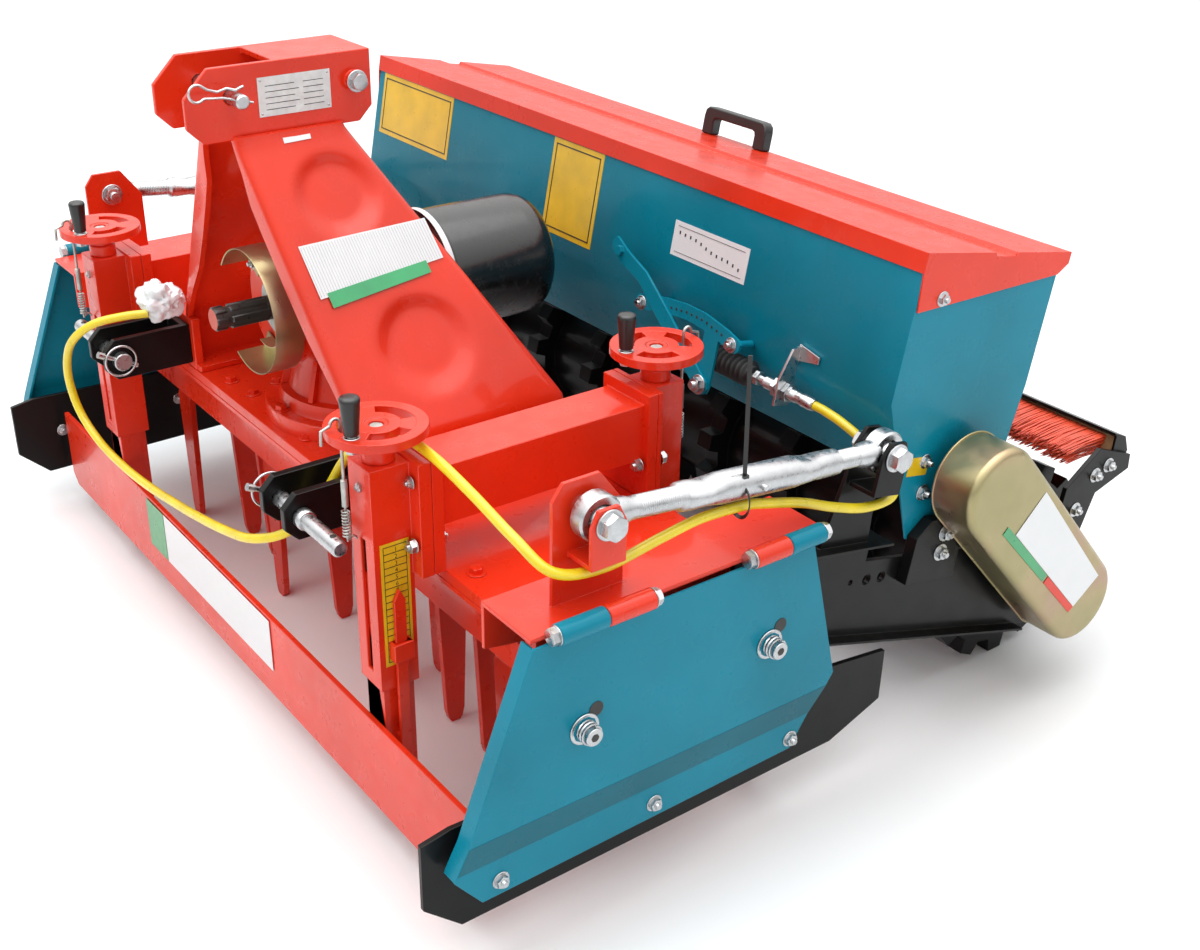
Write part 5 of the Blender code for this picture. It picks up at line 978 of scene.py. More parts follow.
@dataclass(frozen=True)
class Towers:
    """The two folded side plates of the headstock, with rounded folds and pressed dimples."""

    sheet: float = 0.008
    fold: float = 0.014
    foot: float = COVER_TOP
    dimple_depth: float = 0.0125
    lower_bend: float = 0.48
    upper_bend: float = 0.845
    dimples: Tuple[Tuple[float, float, float, float], ...] = ((-0.279, 0.767, 0.068, 0.056),
                                                              (-0.222, 0.58, 0.08, 0.066))

    def outer_x(self, z: Array) -> Array:
        """Give the plate's outer X at a height, with both bends rounded by averaging over 28 mm."""
        spread = np.linspace(-0.014, 0.014, 9)
        return np.interp(z[..., None] + spread, (self.lower_bend, self.upper_bend), (0.3, 0.0625)).mean(-1)

    def section(self, z: float) -> Array:
        """List one level's closed outline against the clock seen from above, for the left plate.

        The outside runs from the front flange's free edge round the front fold, along the panel and
        round the rear fold, and the inside comes back a sheet's thickness further in.
        """
        x = float(self.outer_x(np.array(z)))
        front = float(np.interp(z, (self.lower_bend, self.upper_bend), (-0.358, -0.396)))
        rear = float(np.interp(z, (self.lower_bend, self.upper_bend), (-0.034, -0.235)))
        width = float(np.interp(z, (0.4, 0.5, 0.545, 0.6, 0.66, 0.72, 0.76, 0.8, 0.84),
                                (0.02, 0.022, 0.03, 0.046, 0.05, 0.05, 0.048, 0.03, 0.018)))
        r, t = self.fold, self.sheet
        corner = np.radians(np.linspace(0, 90, 7))
        panel = np.linspace(front + r, rear - r, 40)
        sink = self.sunk(panel, z)

        def half(offset: float) -> Array:
            """Follow the flange, the folds and the panel at an offset in from the outer face."""
            q = r - offset
            front_arc = np.stack((x - r + q * np.sin(corner), front + r - q * np.cos(corner)), -1)
            rear_arc = np.stack((x - r + q * np.cos(corner), rear - r + q * np.sin(corner)), -1)
            flat = np.stack((x - offset - sink, panel), -1)[1:-1]
            ends = ((x - max(width, r + 0.001), front + offset),), ((x - r - 0.004, rear - offset),)
            return np.vstack((ends[0], front_arc, flat, rear_arc, ends[1]))

        line = np.vstack((half(0.0), half(t)[::-1]))
        return np.column_stack((line, np.full(len(line), z)))

    def sunk(self, y: Array, z: float) -> Array:
        """Give how deep the dimples sink the panel: the depth times 3 t^2 - 2 t^3, with t the way down the side."""
        depth = 0 * y
        for cy, cz, half_y, half_z in self.dimples:
            out = np.sqrt(((y - cy) / half_y) ** 2 + ((z - cz) / half_z) ** 2)
            t = np.clip((1.0 - out) / 0.46, 0.0, 1.0)
            depth = depth + self.dimple_depth * (3 * t ** 2 - 2 * t ** 3)
        return depth

    def build(self) -> None:
        """Build both plates with their feet."""
        levels = np.concatenate((np.linspace(self.foot, 0.46, 5), np.linspace(0.464, 0.8475, 72), (0.85,)))
        skin = solid([self.section(z) for z in levels])
        feet = block((0.245, -0.358, self.foot), (0.338, -0.034, self.foot + 0.01))
        pad = block((0.26, -0.3597, self.foot), (0.338, -0.346, 0.486))
        for side in Side:
            plate = piece("tower_%s_plate" % side.word, skin.mirrored(side), RED, sharp=40.0)
            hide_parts("tower_" + side.word)
            piece("tower_%s_foot" % side.word, (feet + pad).mirrored(side), RED, bevel=0.0018)
            run = np.array([(0.3015, y, self.foot + 0.0115) for y in np.linspace(-0.352, -0.04, 50)])
            run[:, 0] += 0.0006 * np.sin(np.arange(50) * 1.9)
            piece("tower_%s_weld" % side.word, wire(run, 0.0042, 8).mirrored(side), RED)


@dataclass(frozen=True)
class Gearbox:
    """The gearbox housing, its splined shaft and the cap over the rear outlet."""

    y: float = -0.2
    pto_z: float = 0.586
    pto_r: float = 0.0175
    spline_depth: float = 0.0025
    flange_top: float = 0.424
    flange_circle: float = 0.137
    barrel_face: float = -0.33
    barrel_circle: float = 0.0795
    filler: Tuple[float, float] = (0.055, -0.17)

    def along(self, points: Array) -> Array:
        """Turn a form raised up Z about the shaft's line, so that its height becomes Y."""
        p = np.asarray(points, float)
        return np.stack((p[..., 0], p[..., 2], self.pto_z - p[..., 1]), -1)

    def build(self) -> None:
        """Build the housing, the shaft and the cap."""
        bowl = lathe(((0.148, 0.4003), (0.148, 0.4225), (0.1465, 0.424), (0.128, 0.424), (0.126, 0.427),
                      (0.124, 0.444), (0.112, 0.446), (0.11, 0.452), (0.098, 0.5), (0.086, 0.636), (0.082, 0.648),
                      (0.072, 0.66), (0.062, 0.668), (0.045, 0.672), (0.03, 0.674)), 96).moved((0, self.y, 0))
        barrel = lathe(((0.062, -0.33), (0.086, -0.33), (0.086, -0.316), (0.084, -0.314), (0.076, -0.314),
                        (0.075, -0.312), (0.075, -0.102), (0.072, -0.096)), 80).mapped(self.along)
        filler = lathe(((0.0135, 0.64), (0.0135, 0.664), (0.012, 0.666)), 28).moved((*self.filler, 0))
        ribs = [block((-0.004, -0.262, 0.47), (0.004, -0.268, 0.56))]
        for turn in range(8):
            angle = math.radians(22.5 + 45 * turn)
            rib = slab(np.array(((0.09, 0.5), (0.1095, 0.446), (0.122, 0.446), (0.104, 0.505))), -0.004, 0.004, "Y")
            ribs.append(rib.mapped(lambda p, a=angle: np.stack((
                math.cos(a) * p[..., 0] - math.sin(a) * p[..., 1],
                math.sin(a) * p[..., 0] + math.cos(a) * p[..., 1] + self.y, p[..., 2]), -1)))
        housing = piece("gearbox_casting", joined([bowl, filler] + ribs + [barrel]), RED, sharp=30.0)
        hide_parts("gearbox_housing")
        bolts = []
        for turn in range(8):
            angle = math.radians(45 * turn)
            spot = polar(self.flange_circle, angle, self.flange_top) + (0, self.y, 0)
            bolts.append(bolt(spot, (0, 0, 1), 0.008, 0.0075, 0.012, spin=turn * 0.7))
        guard_reach = 0.06
        for turn in range(6):
            angle = math.radians(30 + 60 * turn)
            spot = self.turned(polar(self.barrel_circle, angle, self.barrel_face))
            if spot[2] > self.pto_z - guard_reach:
                bolts.append(bolt(spot, (0, -1, 0), 0.005, 0.004, spin=turn * 0.4))
        piece("gearbox_bolts", joined(bolts), RED, sharp=30.0)
        plug = hex_prism(0.0095, 0.01).moved((*self.filler, 0.666))
        piece("gearbox_filler_plug", plug, GREY_CAP, sharp=30.0)
        self.shaft()
        self.guard()
        self.cap()

    def guard(self) -> None:
        """Build the dished guard, open on its far side: a slotted ring plate with a rolled rim and an inner lip."""
        back, face, rim, lip = -0.3325, -0.3345, 0.0905, 0.056
        parts = []

        def band(first: float, last: float, section: Sequence[Tuple[float, float]]) -> None:
            """Sweep a closed (radius, along) section about the shaft between two angles."""
            angle = np.radians(np.linspace(first, last, max(3, int((last - first) / 4))))
            radius, along = np.array(section).T
            parts.append(solid(polar(radius, angle[:, None], along)))

        whole = ((lip, face), (rim, face), (rim, back), (lip, back))
        inner = ((lip, face), (0.067, face), (0.067, back), (lip, back))
        outer = ((0.078, face), (rim, face), (rim, back), (0.078, back))
        first, last, slot_width = -122.0, 148.0, 24.0
        start = first
        for slot in (-96.0, -56.0, -16.0, 24.0, 64.0, 104.0):
            band(start, slot, whole)
            start = slot + slot_width
            band(slot, start, inner)
            band(slot, start, outer)
        band(start, last, whole)
        band(first, last, ((rim - 0.0016, -0.376), (rim, -0.3768), (rim + 0.0005, -0.376), (rim + 0.0005, back),
                           (rim - 0.0016, back)))
        band(-110.0, 120.0, ((lip, -0.352), (lip + 0.0016, -0.352), (lip + 0.0016, back), (lip, back)))
        guard = piece("pto_guard_ring", joined(parts).mapped(self.turned), GOLD, sharp=35.0)
        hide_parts("pto_guard")
        screws = [bolt(polar(0.074, a, -0.335), (0, 0, -1), 0.0055, 0.005, 0.009, 0.004)
                  for a in np.radians((-64.0, 16.0, 96.0, 140.0))]
        piece("pto_guard_screws", joined(screws).mapped(self.turned), ZINC, sharp=30.0)

    def turned(self, points: Array) -> Array:
        """Turn a form about the shaft's line, with its angles counted from +X upwards and its height along Y."""
        p = np.asarray(points, float)
        return np.stack((p[..., 0], p[..., 2], self.pto_z + p[..., 1]), -1)

    def shaft(self) -> None:
        """Build the splined shaft with its painted end and the seal round it."""
        angle = turns(144)
        splines, steepness = 6, 3.0
        wave = np.clip(np.cos(splines * angle) * steepness, -1, 1) * 0.5 + 0.5
        radius = self.pto_r - self.spline_depth * (1 - wave)
        rows = []
        for y, scale in ((-0.4278, 0.9), (-0.4262, 0.985), (-0.424, 1.0), (-0.412, 1.0), (-0.41, 0.86),
                         (-0.405, 0.86), (-0.403, 1.0), (-0.35, 1.0)):
            rows.append(polar(np.minimum(radius, self.pto_r * scale), angle, y))
        stub = solid(rows)
        rear = lathe(((self.pto_r, -0.35), (self.pto_r, -0.201)), 48)
        shaft = piece("pto_splines", (stub + rear).mapped(self.along), SHAFT_BLACK, "input_shaft", sharp=32.0)
        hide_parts("pto_shaft")
        face = lathe(((0.015, -0.42795), (0.015, -0.4276), (0.0135, -0.4275)), 40)
        piece("pto_painted_end", face.mapped(self.along), SHAFT_END, "input_shaft", sharp=30.0)
        seal = ring_lathe(((0.04, -0.3345), (0.041, -0.33), (0.0182, -0.33), (0.0182, -0.3345), (0.024, -0.335),
                           (0.032, -0.3335)), 56)
        piece("pto_seal", seal.mapped(self.along), DULL_ZINC, sharp=40.0)

    def cap(self) -> None:
        """Build the black rear cap with its white ring and its silver clips."""
        cup = lathe(((0.096, -0.0957), (0.098, -0.0945), (0.098, -0.083), (0.0965, -0.0817), (0.0945, -0.08),
                     (0.094, 0.06), (0.093, 0.078), (0.089, 0.0905), (0.082, 0.0975), (0.076, 0.0998),
                     (0.05, 0.0995), (0.048, 0.0975), (0.004, 0.097)), 96)
        cap = piece("rear_cap_cup", cup.mapped(self.along), CAP, sharp=40.0)
        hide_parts("rear_pto_cap")
        collar = ring_lathe(((0.0985, -0.094), (0.0985, -0.085), (0.0978, -0.0845), (0.0978, -0.0945)), 96)
        piece("rear_cap_white_ring", collar.mapped(self.along), PANEL_WHITE, sharp=30.0)
        clips = []
        for degrees in (55, 125, 180, 0):
            a = math.radians(degrees)
            way = np.array((math.cos(a), math.sin(a)))
            strip = block((-0.006, -0.0012, -0.098), (0.006, 0.0012, -0.06))
            clips.append(strip.mapped(lambda p, w=way: np.stack((
                w[0] * (0.0992 + p[..., 1]) - w[1] * p[..., 0], w[1] * (0.0992 + p[..., 1]) + w[0] * p[..., 0],
                p[..., 2]), -1)))
            clips.append(hex_prism(0.0045, 0.004).aimed((*(way * 0.1003), -0.09), (*way, 0.0)))
        piece("rear_cap_clips", joined(clips).mapped(self.along), ZINC, bevel=0.0004)


@dataclass(frozen=True)
class Links:
    """The adjustable links: an eye with a ball at each end, threads and a round tube between them."""

    x: float = 0.733
    front: Tuple[float, float] = FRONT_EYE
    rear: Tuple[float, float] = REAR_EYE

    def build(self) -> None:
        """Build both links, each of a tube part and a rear eye part."""
        dy, dz = self.rear[0] - self.front[0], self.rear[1] - self.front[1]
        length = math.hypot(dy, dz)
        for side in Side:
            x = side.value * self.x
            start = np.array((x, *self.front))
            way = (0.0, dy / length, dz / length)
            eye = self.eye()
            tube_part = joined((eye.moved(start), self.barrel().aimed(start, way)))
            tube = piece("link_%s_tube" % side.word, tube_part, ZINC, "link_tube_" + side.word, sharp=34.0)
            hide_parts("turnbuckle_" + side.word)
            rod = threaded(0.013, 0.15, 0.003, 32, 0.0012).moved((0, 0, 0.289))
            neck = lathe(((0.0125, 0.405), (0.0165, 0.418), (0.018, 0.436)), 32)
            end_part = joined((self.eye().moved((x, *self.rear)), (rod + neck).aimed(start, way)))
            end = piece("link_%s_rear_eye" % side.word, end_part, ZINC, "link_end_" + side.word, sharp=34.0)
            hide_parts("turnbuckle_eye_" + side.word)

    def eye(self) -> Shape:
        """Make one eye about the X axis: a rounded ring with the ball's two faces."""
        ring = ring_lathe(((0.0185, -0.0112), (0.0265, -0.0112), (0.029, -0.0085), (0.029, 0.0085),
                           (0.0265, 0.0112), (0.0185, 0.0112), (0.0172, 0.009), (0.0172, -0.009)), 56)
        ball = ring_lathe([(0.0125, -0.0189), (0.0152, -0.014), (0.017, -0.007), (0.0174, 0.0),
                           (0.017, 0.007), (0.0152, 0.014), (0.0125, 0.0189), (0.0086, 0.0189), (0.0086, -0.0189)],
                          48)
        return (ring + ball).aimed((0, 0, 0), (1, 0, 0))

    def barrel(self) -> Shape:
        """Make the front stem, the welded thread and the forged tube about the link's line."""
        stem = lathe(((0.018, 0.019), (0.0165, 0.036), (0.0138, 0.046), (0.0138, 0.055)), 32)
        thread = threaded(0.014, 0.072, 0.003, 32, 0.0012).moved((0, 0, 0.052))
        flats, angle = [], turns(40)
        for z, wide, deep in ((0.118, 0.0155, 0.0155), (0.126, 0.0195, 0.018), (0.15, 0.0225, 0.015),
                              (0.166, 0.0215, 0.0175), (0.178, 0.02, 0.02), (0.232, 0.02, 0.02),
                              (0.294, 0.02, 0.02), (0.306, 0.0215, 0.017), (0.322, 0.021, 0.015),
                              (0.336, 0.018, 0.017), (0.352, 0.017, 0.017), (0.369, 0.0164, 0.0164)):
            flats.append(np.stack(np.broadcast_arrays(wide * np.cos(angle), deep * np.sin(angle), z), -1))
        body = solid(flats)
        weld = ring_lathe(((0.0135, 0.112), (0.0175, 0.116), (0.018, 0.121), (0.0135, 0.126)), 32)
        pin = lathe(((0.0034, -0.026), (0.004, -0.0252), (0.004, 0.0252), (0.0034, 0.026)), 20)
        return joined((stem, thread, body, weld, pin.aimed((0, 0, 0.232), (1, 0, 0))))


@dataclass(frozen=True)
class ChainDrive:
    """The pressed chain cover, with its rolled rim and rounded face."""

    upper: Tuple[float, float] = (0.352, 0.118)
    lower: Tuple[float, float] = ROLLER_AXLE
    radius: float = 0.0675
    back: float = 0.71

    def outline(self, x: float, radius: float) -> Array:
        """List the points of the stadium that runs round both sprockets, at one X."""
        a, b = np.array(self.upper), np.array(self.lower)
        along = (b - a) / np.linalg.norm(b - a)
        across = np.array((-along[1], along[0]))
        angle = np.linspace(-math.pi / 2, math.pi / 2, 33)[:, None]
        end = b + radius * (np.cos(angle) * along + np.sin(angle) * across)
        start = a - radius * (np.cos(angle) * along + np.sin(angle) * across)
        flat = np.vstack((end, start))
        return np.column_stack((np.full(len(flat), x), flat))

    def build(self) -> None:
        """Build the cover from its rim to its face, with a turn of radius 11 mm between them."""
        bend_x, bend_r, turn = 0.769, 0.0562, 0.011
        levels = [(self.back, self.radius), (bend_x, self.radius - 0.0003)]
        angles = np.radians(np.linspace(12, 90, 8))
        levels += [(bend_x + turn * math.sin(t), bend_r + turn * math.cos(t)) for t in angles]
        levels += [(0.7798, 0.05), (0.7796, 0.03), (0.7795, 0.01)]
        shape = solid([self.outline(x, radius) for x, radius in levels])
        cover = piece("chain_cover_pressing", shape, GOLD, UNIT, sharp=40.0)
        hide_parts("chain_cover")
        rim = self.outline(0.7128, self.radius + 0.0006)
        piece("chain_cover_rim", wire(rim, 0.0016, 8, closed=True), GOLD, UNIT, sharp=50.0)


@dataclass(frozen=True)
class Shields:
    """The side shields, whose lower part is set in below a sloping band that carries a darker teal film of painted
    shade.
    """

    top: float = 0.2115
    foot: float = 0.174
    step: float = 0.005
    stud_end: float = 0.78

    def build(self, frame: Dict) -> None:
        """Fold a copy of each CAD shield: x moves in by the step's share of the way down the band."""
        for side in Side:
            item = softened(frame, "side_shield_" + side.word, TEAL, 0.0008)
            work = bmesh.new()
            work.from_mesh(item.data)
            for z in (self.top, self.foot):
                every = work.verts[:] + work.edges[:] + work.faces[:]
                bmesh.ops.bisect_plane(work, geom=every, plane_co=(0, 0, z), plane_no=(0, 0, 1))
                for edge in work.edges:
                    if all(abs(vertex.co.z - z) < 1e-5 for vertex in edge.verts):
                        edge.smooth = False
            for vertex in work.verts:
                share = min(max((self.top - vertex.co.z) / (self.top - self.foot), 0.0), 1.0)
                reach = min(abs(vertex.co.x) - self.step * share, self.stud_end)
                vertex.co.x = math.copysign(reach, vertex.co.x)
            work.to_mesh(item.data)
            work.free()
            # A thin film of darker teal over the sloping band is painted shade.
            outer, low = 0.7623, 0.7623 - self.step
            band = np.array(((outer, -0.4993, self.top), (outer, 0.0546, self.top), (low, 0.0304, self.foot),
                             (low, -0.513, self.foot)))
            film = solid((band - (0.0005, 0, 0), band))
            body = "shield_body_" + side.word
            piece("shield_%s_band" % side.word, film.mirrored(side), TEAL_PAINTED_SHADE, body, sharp=20.0)


@dataclass(frozen=True)
class Lid:
    """The folded hopper lid with its flaps, pressed channel, hinge bolts and black handle."""

    half: float = 0.6928
    sheet: float = 0.0022
    top: float = 0.4315
    flange: float = 0.0275
    front: float = 0.1812
    rear: float = 0.4786

    def build(self) -> None:
        """Build the lid and its handle."""
        t, top = self.sheet, self.top
        upper = [(self.front, top - self.flange), (self.front, top), (0.315, top), (0.318, top - 0.005),
                 (0.3595, top - 0.005), (0.3625, top), (self.rear, top), (self.rear, top - 0.016)]
        lower = [(self.rear - t, top - 0.016), (self.rear - t, top - t), (0.3612, top - t),
                 (0.3583, top - 0.005 - t), (0.3192, top - 0.005 - t), (0.3163, top - t), (self.front + t, top - t),
                 (self.front + t, top - self.flange)]
        inner = self.half - t + 0.0004
        sheet = slab(np.array(upper + lower), -inner, inner, "X")
        last = len(upper + lower) - 1
        across = [[j, j + 1, last - 1 - j, last - j] for j in range(len(upper) - 1)]
        sheet.faces[-2:] = [quad[::-1] for quad in across] + [[i + last + 1 for i in quad] for quad in across]
        flap = np.array([(self.front, top), (self.front, top - self.flange), (0.1875, 0.353), (0.46, 0.4),
                         (self.rear, top - 0.016)] + upper[6:1:-1])
        ends = slab(flap, self.half - t, self.half, "X") + slab(flap, -self.half, -self.half + t, "X")
        lid = piece("lid_sheet", sheet, RED, "lid", 0.0008, 25.0, 3)
        flaps = piece("lid_flaps", ends, RED, "lid", sharp=25.0)
        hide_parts("hopper_lid")
        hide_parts("hopper_lid")
        self.handle()
        bolts = [bolt((s * (self.half + 0.0002), 0.229, 0.371), (s, 0, 0), 0.0065, 0.0055, 0.0105, 0.004)
                 for s in (1, -1)]
        piece("lid_hinge_bolts", joined(bolts), ZINC, "lid", sharp=30.0)

    def handle(self) -> None:
        """Build the bridge handle: two feet and a bar with rounded shoulders."""
        arch = np.array((
            (-0.065, 0.0002), (-0.065, 0.03), (-0.063, 0.04), (-0.056, 0.0455), (-0.045, 0.046), (0.068, 0.046),
            (0.079, 0.0455), (0.086, 0.04), (0.088, 0.03), (0.088, 0.0002), (0.063, 0.0002), (0.063, 0.022),
            (0.061, 0.027), (0.056, 0.029), (-0.033, 0.029), (-0.038, 0.027), (-0.04, 0.022), (-0.04, 0.0002)))
        shape = slab(arch + (0.0, self.top), 0.4552, 0.4752, "Y")
        piece("lid_handle", shape, GRIP, "lid", 0.003, 50.0, 3)


@dataclass(frozen=True)
class Brush:
    """The covering brush: rows of bent strands in a backing strip."""

    strands: int = 4200
    half: float = 0.66
    rows: int = 8
    root: float = 0.7535
    tip: float = 0.664
    seed: int = 7

    def build(self) -> None:
        """Build the backing and all the strands, each of two four-sided spans and a point."""
        back = block((-0.6775, 0.752, 0.098), (0.6775, 0.76, 0.1305))
        backing = piece("brush_backing", back, TAN_BACKING, UNIT, 0.0012)
        rng = np.random.default_rng(self.seed)
        n = self.strands
        row = np.arange(n) % self.rows
        x = np.linspace(-self.half, self.half, n) + rng.uniform(-0.0012, 0.0012, n)
        root_z = 0.1005 + 0.0038 * row + rng.uniform(-0.001, 0.001, n)
        lean = rng.normal(0, 0.0035, n)
        tip_z = 0.0865 + 0.0028 * row + rng.normal(0, 0.0015, n)
        reach = self.tip + rng.normal(0, 0.0022, n)
        share = np.array((0.0, 0.5, 0.93, 1.0))[None]
        y = self.root + (reach - self.root)[:, None] * share
        z = root_z[:, None] + (tip_z - root_z)[:, None] * share + 0.002 * np.sin(math.pi * share)
        along = x[:, None] + lean[:, None] * share ** 2
        radius = np.array((0.0014, 0.00135, 0.00115, 0.0003))
        angle = turns(4) + 0.4
        points = np.stack(np.broadcast_arrays(along[..., None] + radius[:, None] * np.cos(angle), y[..., None],
                                              z[..., None] + radius[:, None] * np.sin(angle)), -1)
        single = solid(points[0])
        first = np.arange(n)[:, None, None] * len(single.points)
        faces = (first + np.array(single.faces)).reshape(-1, 4).tolist()
        strands = piece("brush_strands", Shape(points.reshape(-1, 3), faces), STRANDS, UNIT, sharp=60.0)
        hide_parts("brush")
        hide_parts("brush")


class Parts:
    """Gathers many small forms by finish and body, and makes one piece of each group."""

    def __init__(self, prefix: str) -> None:
        """Start with no forms."""
        self.prefix = prefix
        self.groups: Dict[Tuple[Finish, str], List[Shape]] = {}

    def add(self, shape: Shape, finish: Finish, body: str = "harrow", frame: Optional[Placing] = None) -> None:
        """Add a form in its body's frame, or in the one given."""
        self.groups.setdefault((finish, body), []).append(shape.mapped(frame or frame_of(body)))

    def build(self, sharp: float = 30.0) -> None:
        """Make the pieces."""
        for (finish, body), shapes in self.groups.items():
            name = "%s_%s_%s" % (self.prefix, body, finish.name)
            piece(name, joined(shapes), finish, body, sharp=sharp, frame=unmoved)


@dataclass(frozen=True)
class Fasteners:
    """Every bolt, nut, washer and stud that stands on the painted parts."""

    def build(self) -> None:
        """Build the fasteners by the region that they hold."""
        parts = Parts("bolts")
        self.cover(parts)
        for side in Side:
            self.beams(parts, side)
            self.hinges(parts, side)
            self.shields(parts, side)
            self.link_ends(parts, side)
            self.arms(parts, side)
        self.channel(parts)
        parts.build()

    def cover(self, parts: Parts) -> None:
        """Bolt the trough cover down along its front and rear edges."""
        spots = [(x, y) for x in (0.607, 0.524, 0.358, -0.358, -0.524, -0.607) for y in (-0.3325, -0.0575)]
        spots += [(-0.126, -0.326), (0.062, -0.329), (-0.19, -0.3325), (0.19, -0.3325), (0.632, -0.25),
                  (0.632, -0.14), (-0.632, -0.25), (-0.632, -0.14), (0.19, -0.0575), (-0.19, -0.0575)]
        for i, (x, y) in enumerate(spots):
            shape = bolt((x, y, COVER_TOP), (0, 0, 1), 0.0075, 0.007, 0.0125, spin=0.9 * i)
            parts.add(shape, RED)

    def beams(self, parts: Parts, side: Side) -> None:
        """Bolt the joint plates of the posts and the side beam, and pin the posts."""
        s = side.value
        for x in (0.41, 0.49):
            for y, z, way in ((-0.3984, 0.445, -1.0), (-0.3655, 0.445, 1.0),
                              (-0.0528, 0.455, -1.0), (-0.0197, 0.455, 1.0)):
                shape = bolt((s * x, y, z), (0, way, 0), 0.008, 0.0075, 0.0098, 0.004, 9 * x + y)
                parts.add(shape, ZINC)
        parts.add(bolt((s * 0.487, -0.3984, 0.53), (0, -1, 0), 0.005, 0.005, 0.0085, 0.003), ZINC)

    def hinges(self, parts: Parts, side: Side) -> None:
        """Sleeve the shield hinges in red and teal, with a bolt head and a nut at their ends."""
        s, x, z = side.value, side.value * 0.768, 0.459
        length, bore = 0.0644, 0.0066
        knuckle = ((0.0118, 0.0), (0.013, 0.0012), (0.013, 0.0632), (0.0118, length))
        for (low, high), finish, body in (((-0.3179, -0.2521), RED, "harrow"),
                                          ((-0.0999, -0.0451), RED, "harrow"),
                                          ((-0.3839, -0.3186), TEAL, "shield_body_" + side.word),
                                          ((-0.0444, 0.0119), TEAL, "shield_body_" + side.word)):
            scale = (high - low) / length
            ring = ring_lathe([(r, h * scale) for r, h in knuckle] + [(bore, length * scale), (bore, 0.0)], 40)
            parts.add(ring.aimed((x, low, z), (0, 1, 0)), finish, body)
        for y, way in ((-0.3842, -1), (-0.2518, 1), (-0.1002, -1), (0.0122, 1)):
            head = joined((hex_prism(0.0095, 0.0085).moved((0, 0, 0.0012)), washer(0.0125, 0.0014)))
            parts.add(head.aimed((x, y, z), (0, way, 0), 0.35), ZINC)

    def shields(self, parts: Parts, side: Side) -> None:
        """Hold the shield with its sprung studs and with the skid plate's bolts."""
        s, body, face, skid, skid_back = side.value, "shield_body_" + side.word, 0.7622, 0.7572, 0.7158
        for y, z in ((-0.341, 0.312), (-0.056, 0.319)):
            place = (s * face, y, z)
            spring = coil(0.0125, 0.0018, 3.2, 0.0042).moved((0, 0, 0.0032))
            cup = joined((washer(0.0205, 0.0024), lathe(((0.0105, 0.002), (0.0105, 0.016)), 24),
                          lathe(((0.0118, 0.0155), (0.0118, 0.0208), (0.011, 0.0216), (0.01, 0.0218)), 32)))
            parts.add((spring + cup).aimed(place, (s, 0, 0)), ZINC, body)
            # The black hexagon is painted shade in the stud's socket; the black disc beside it is painted shade in a
            # hole.
            socket = hex_prism(0.005, 0.0004).moved((0, 0, 0.0218)).aimed(place, (s, 0, 0), 0.4)
            parts.add(socket, INK_AND_HOLE_SHADE, body)
            hole = washer(0.01, 0.0006).aimed((s * face, y + 0.017, z + 0.021), (s, 0, 0))
            parts.add(hole, INK_AND_HOLE_SHADE, body)
        for y, z in ((-0.455, 0.142), (-0.228, 0.147), (0.0, 0.146)):
            shape = bolt((s * skid, y, z), (s, 0, 0), 0.0075, 0.006, 0.0115, 0.004, z * 30)
            parts.add(shape, ZINC, body)
            inner = bolt((s * skid_back, y, z), (-s, 0, 0), 0.007, 0.006, 0.011, 0.003, z * 20)
            parts.add(inner, ZINC, body)

    def link_ends(self, parts: Parts, side: Side) -> None:
        """Cap the bolts of the link eyes with heads, washers and nuts."""
        s, outer, inner, half_across = side.value, 0.7583, 0.7077, 0.0138
        for (y, z), body in ((FRONT_EYE, "harrow"), (REAR_EYE, UNIT)):
            head = bolt((s * outer, y, z), (s, 0, 0), half_across, 0.0128, 0.019, 0.0, 0.4 + z)
            nut = bolt((s * inner, y, z), (-s, 0, 0), half_across, 0.011, 0.0185, 0.006, 0.1 + z)
            parts.add(joined((head, nut)), ZINC, body, harrow)

    def arms(self, parts: Parts, side: Side) -> None:
        """Bolt the hopper's brackets, the brush cover and the roller's bearings to the side arms.

        The right arm shows the bearing's cap, which the chain cover hides on the left.
        """
        s = side.value
        for y, z, x, size, height, washer_r, stem, spin in (
                (0.293, 0.093, 0.6903, 0.0075, 0.0065, 0.012, 0.006, 9),
                (0.367, 0.141, 0.6903, 0.0075, 0.0065, 0.012, 0.006, 9),
                (0.43, 0.105, 0.6903, 0.0075, 0.0065, 0.012, 0.006, 9),
                (0.282, 0.14, 0.6903, 0.0065, 0.0065, 0.0104, 0.006, 9),
                (0.3425, 0.034, 0.7087, 0.008, 0.007, 0.013, 0.005, 7),
                (0.378, 0.033, 0.7087, 0.008, 0.007, 0.013, 0.005, 7),
                (0.3425, 0.004, 0.7087, 0.008, 0.007, 0.013, 0.005, 7),
                (0.704, 0.077, 0.6902, 0.0075, 0.0065, 0.012, 0.005, 5),
                (0.732, 0.091, 0.6902, 0.0075, 0.0065, 0.012, 0.005, 5),
                (0.677, 0.022, 0.6902, 0.0075, 0.0065, 0.012, 0.005, 5)):
            shape = bolt((s * x, y, z), (s, 0, 0), size, height, washer_r, stem, y * spin)
            parts.add(shape, ZINC, UNIT)
        circle = 0.038
        for degrees in (45, 135, 225, 315):
            a = math.radians(degrees)
            place = (s * 0.6905, ROLLER_AXLE[0] + circle * math.cos(a), ROLLER_AXLE[1] + circle * math.sin(a))
            parts.add(bolt(place, (s, 0, 0), 0.0065, 0.0055, 0.0105, 0.004, a), ZINC, UNIT)
        if side is Side.RIGHT:
            plate = lathe(((0.052, 0.0), (0.052, 0.0035), (0.05, 0.0045), (0.03, 0.0055), (0.026, 0.013),
                           (0.018, 0.014)), 48)
            parts.add(plate.aimed((s * 0.6902, *ROLLER_AXLE), (s, 0, 0)), BLACK, UNIT)

    def channel(self, parts: Parts) -> None:
        """Hold the top link channel with the head and the nut of its rear bolt."""
        for s in (1, -1):
            shape = bolt((s * 0.0643, -0.216, 0.902), (s, 0, 0), 0.0105, 0.0095, 0.015, 0.0, 0.2)
            parts.add(shape, ZINC)


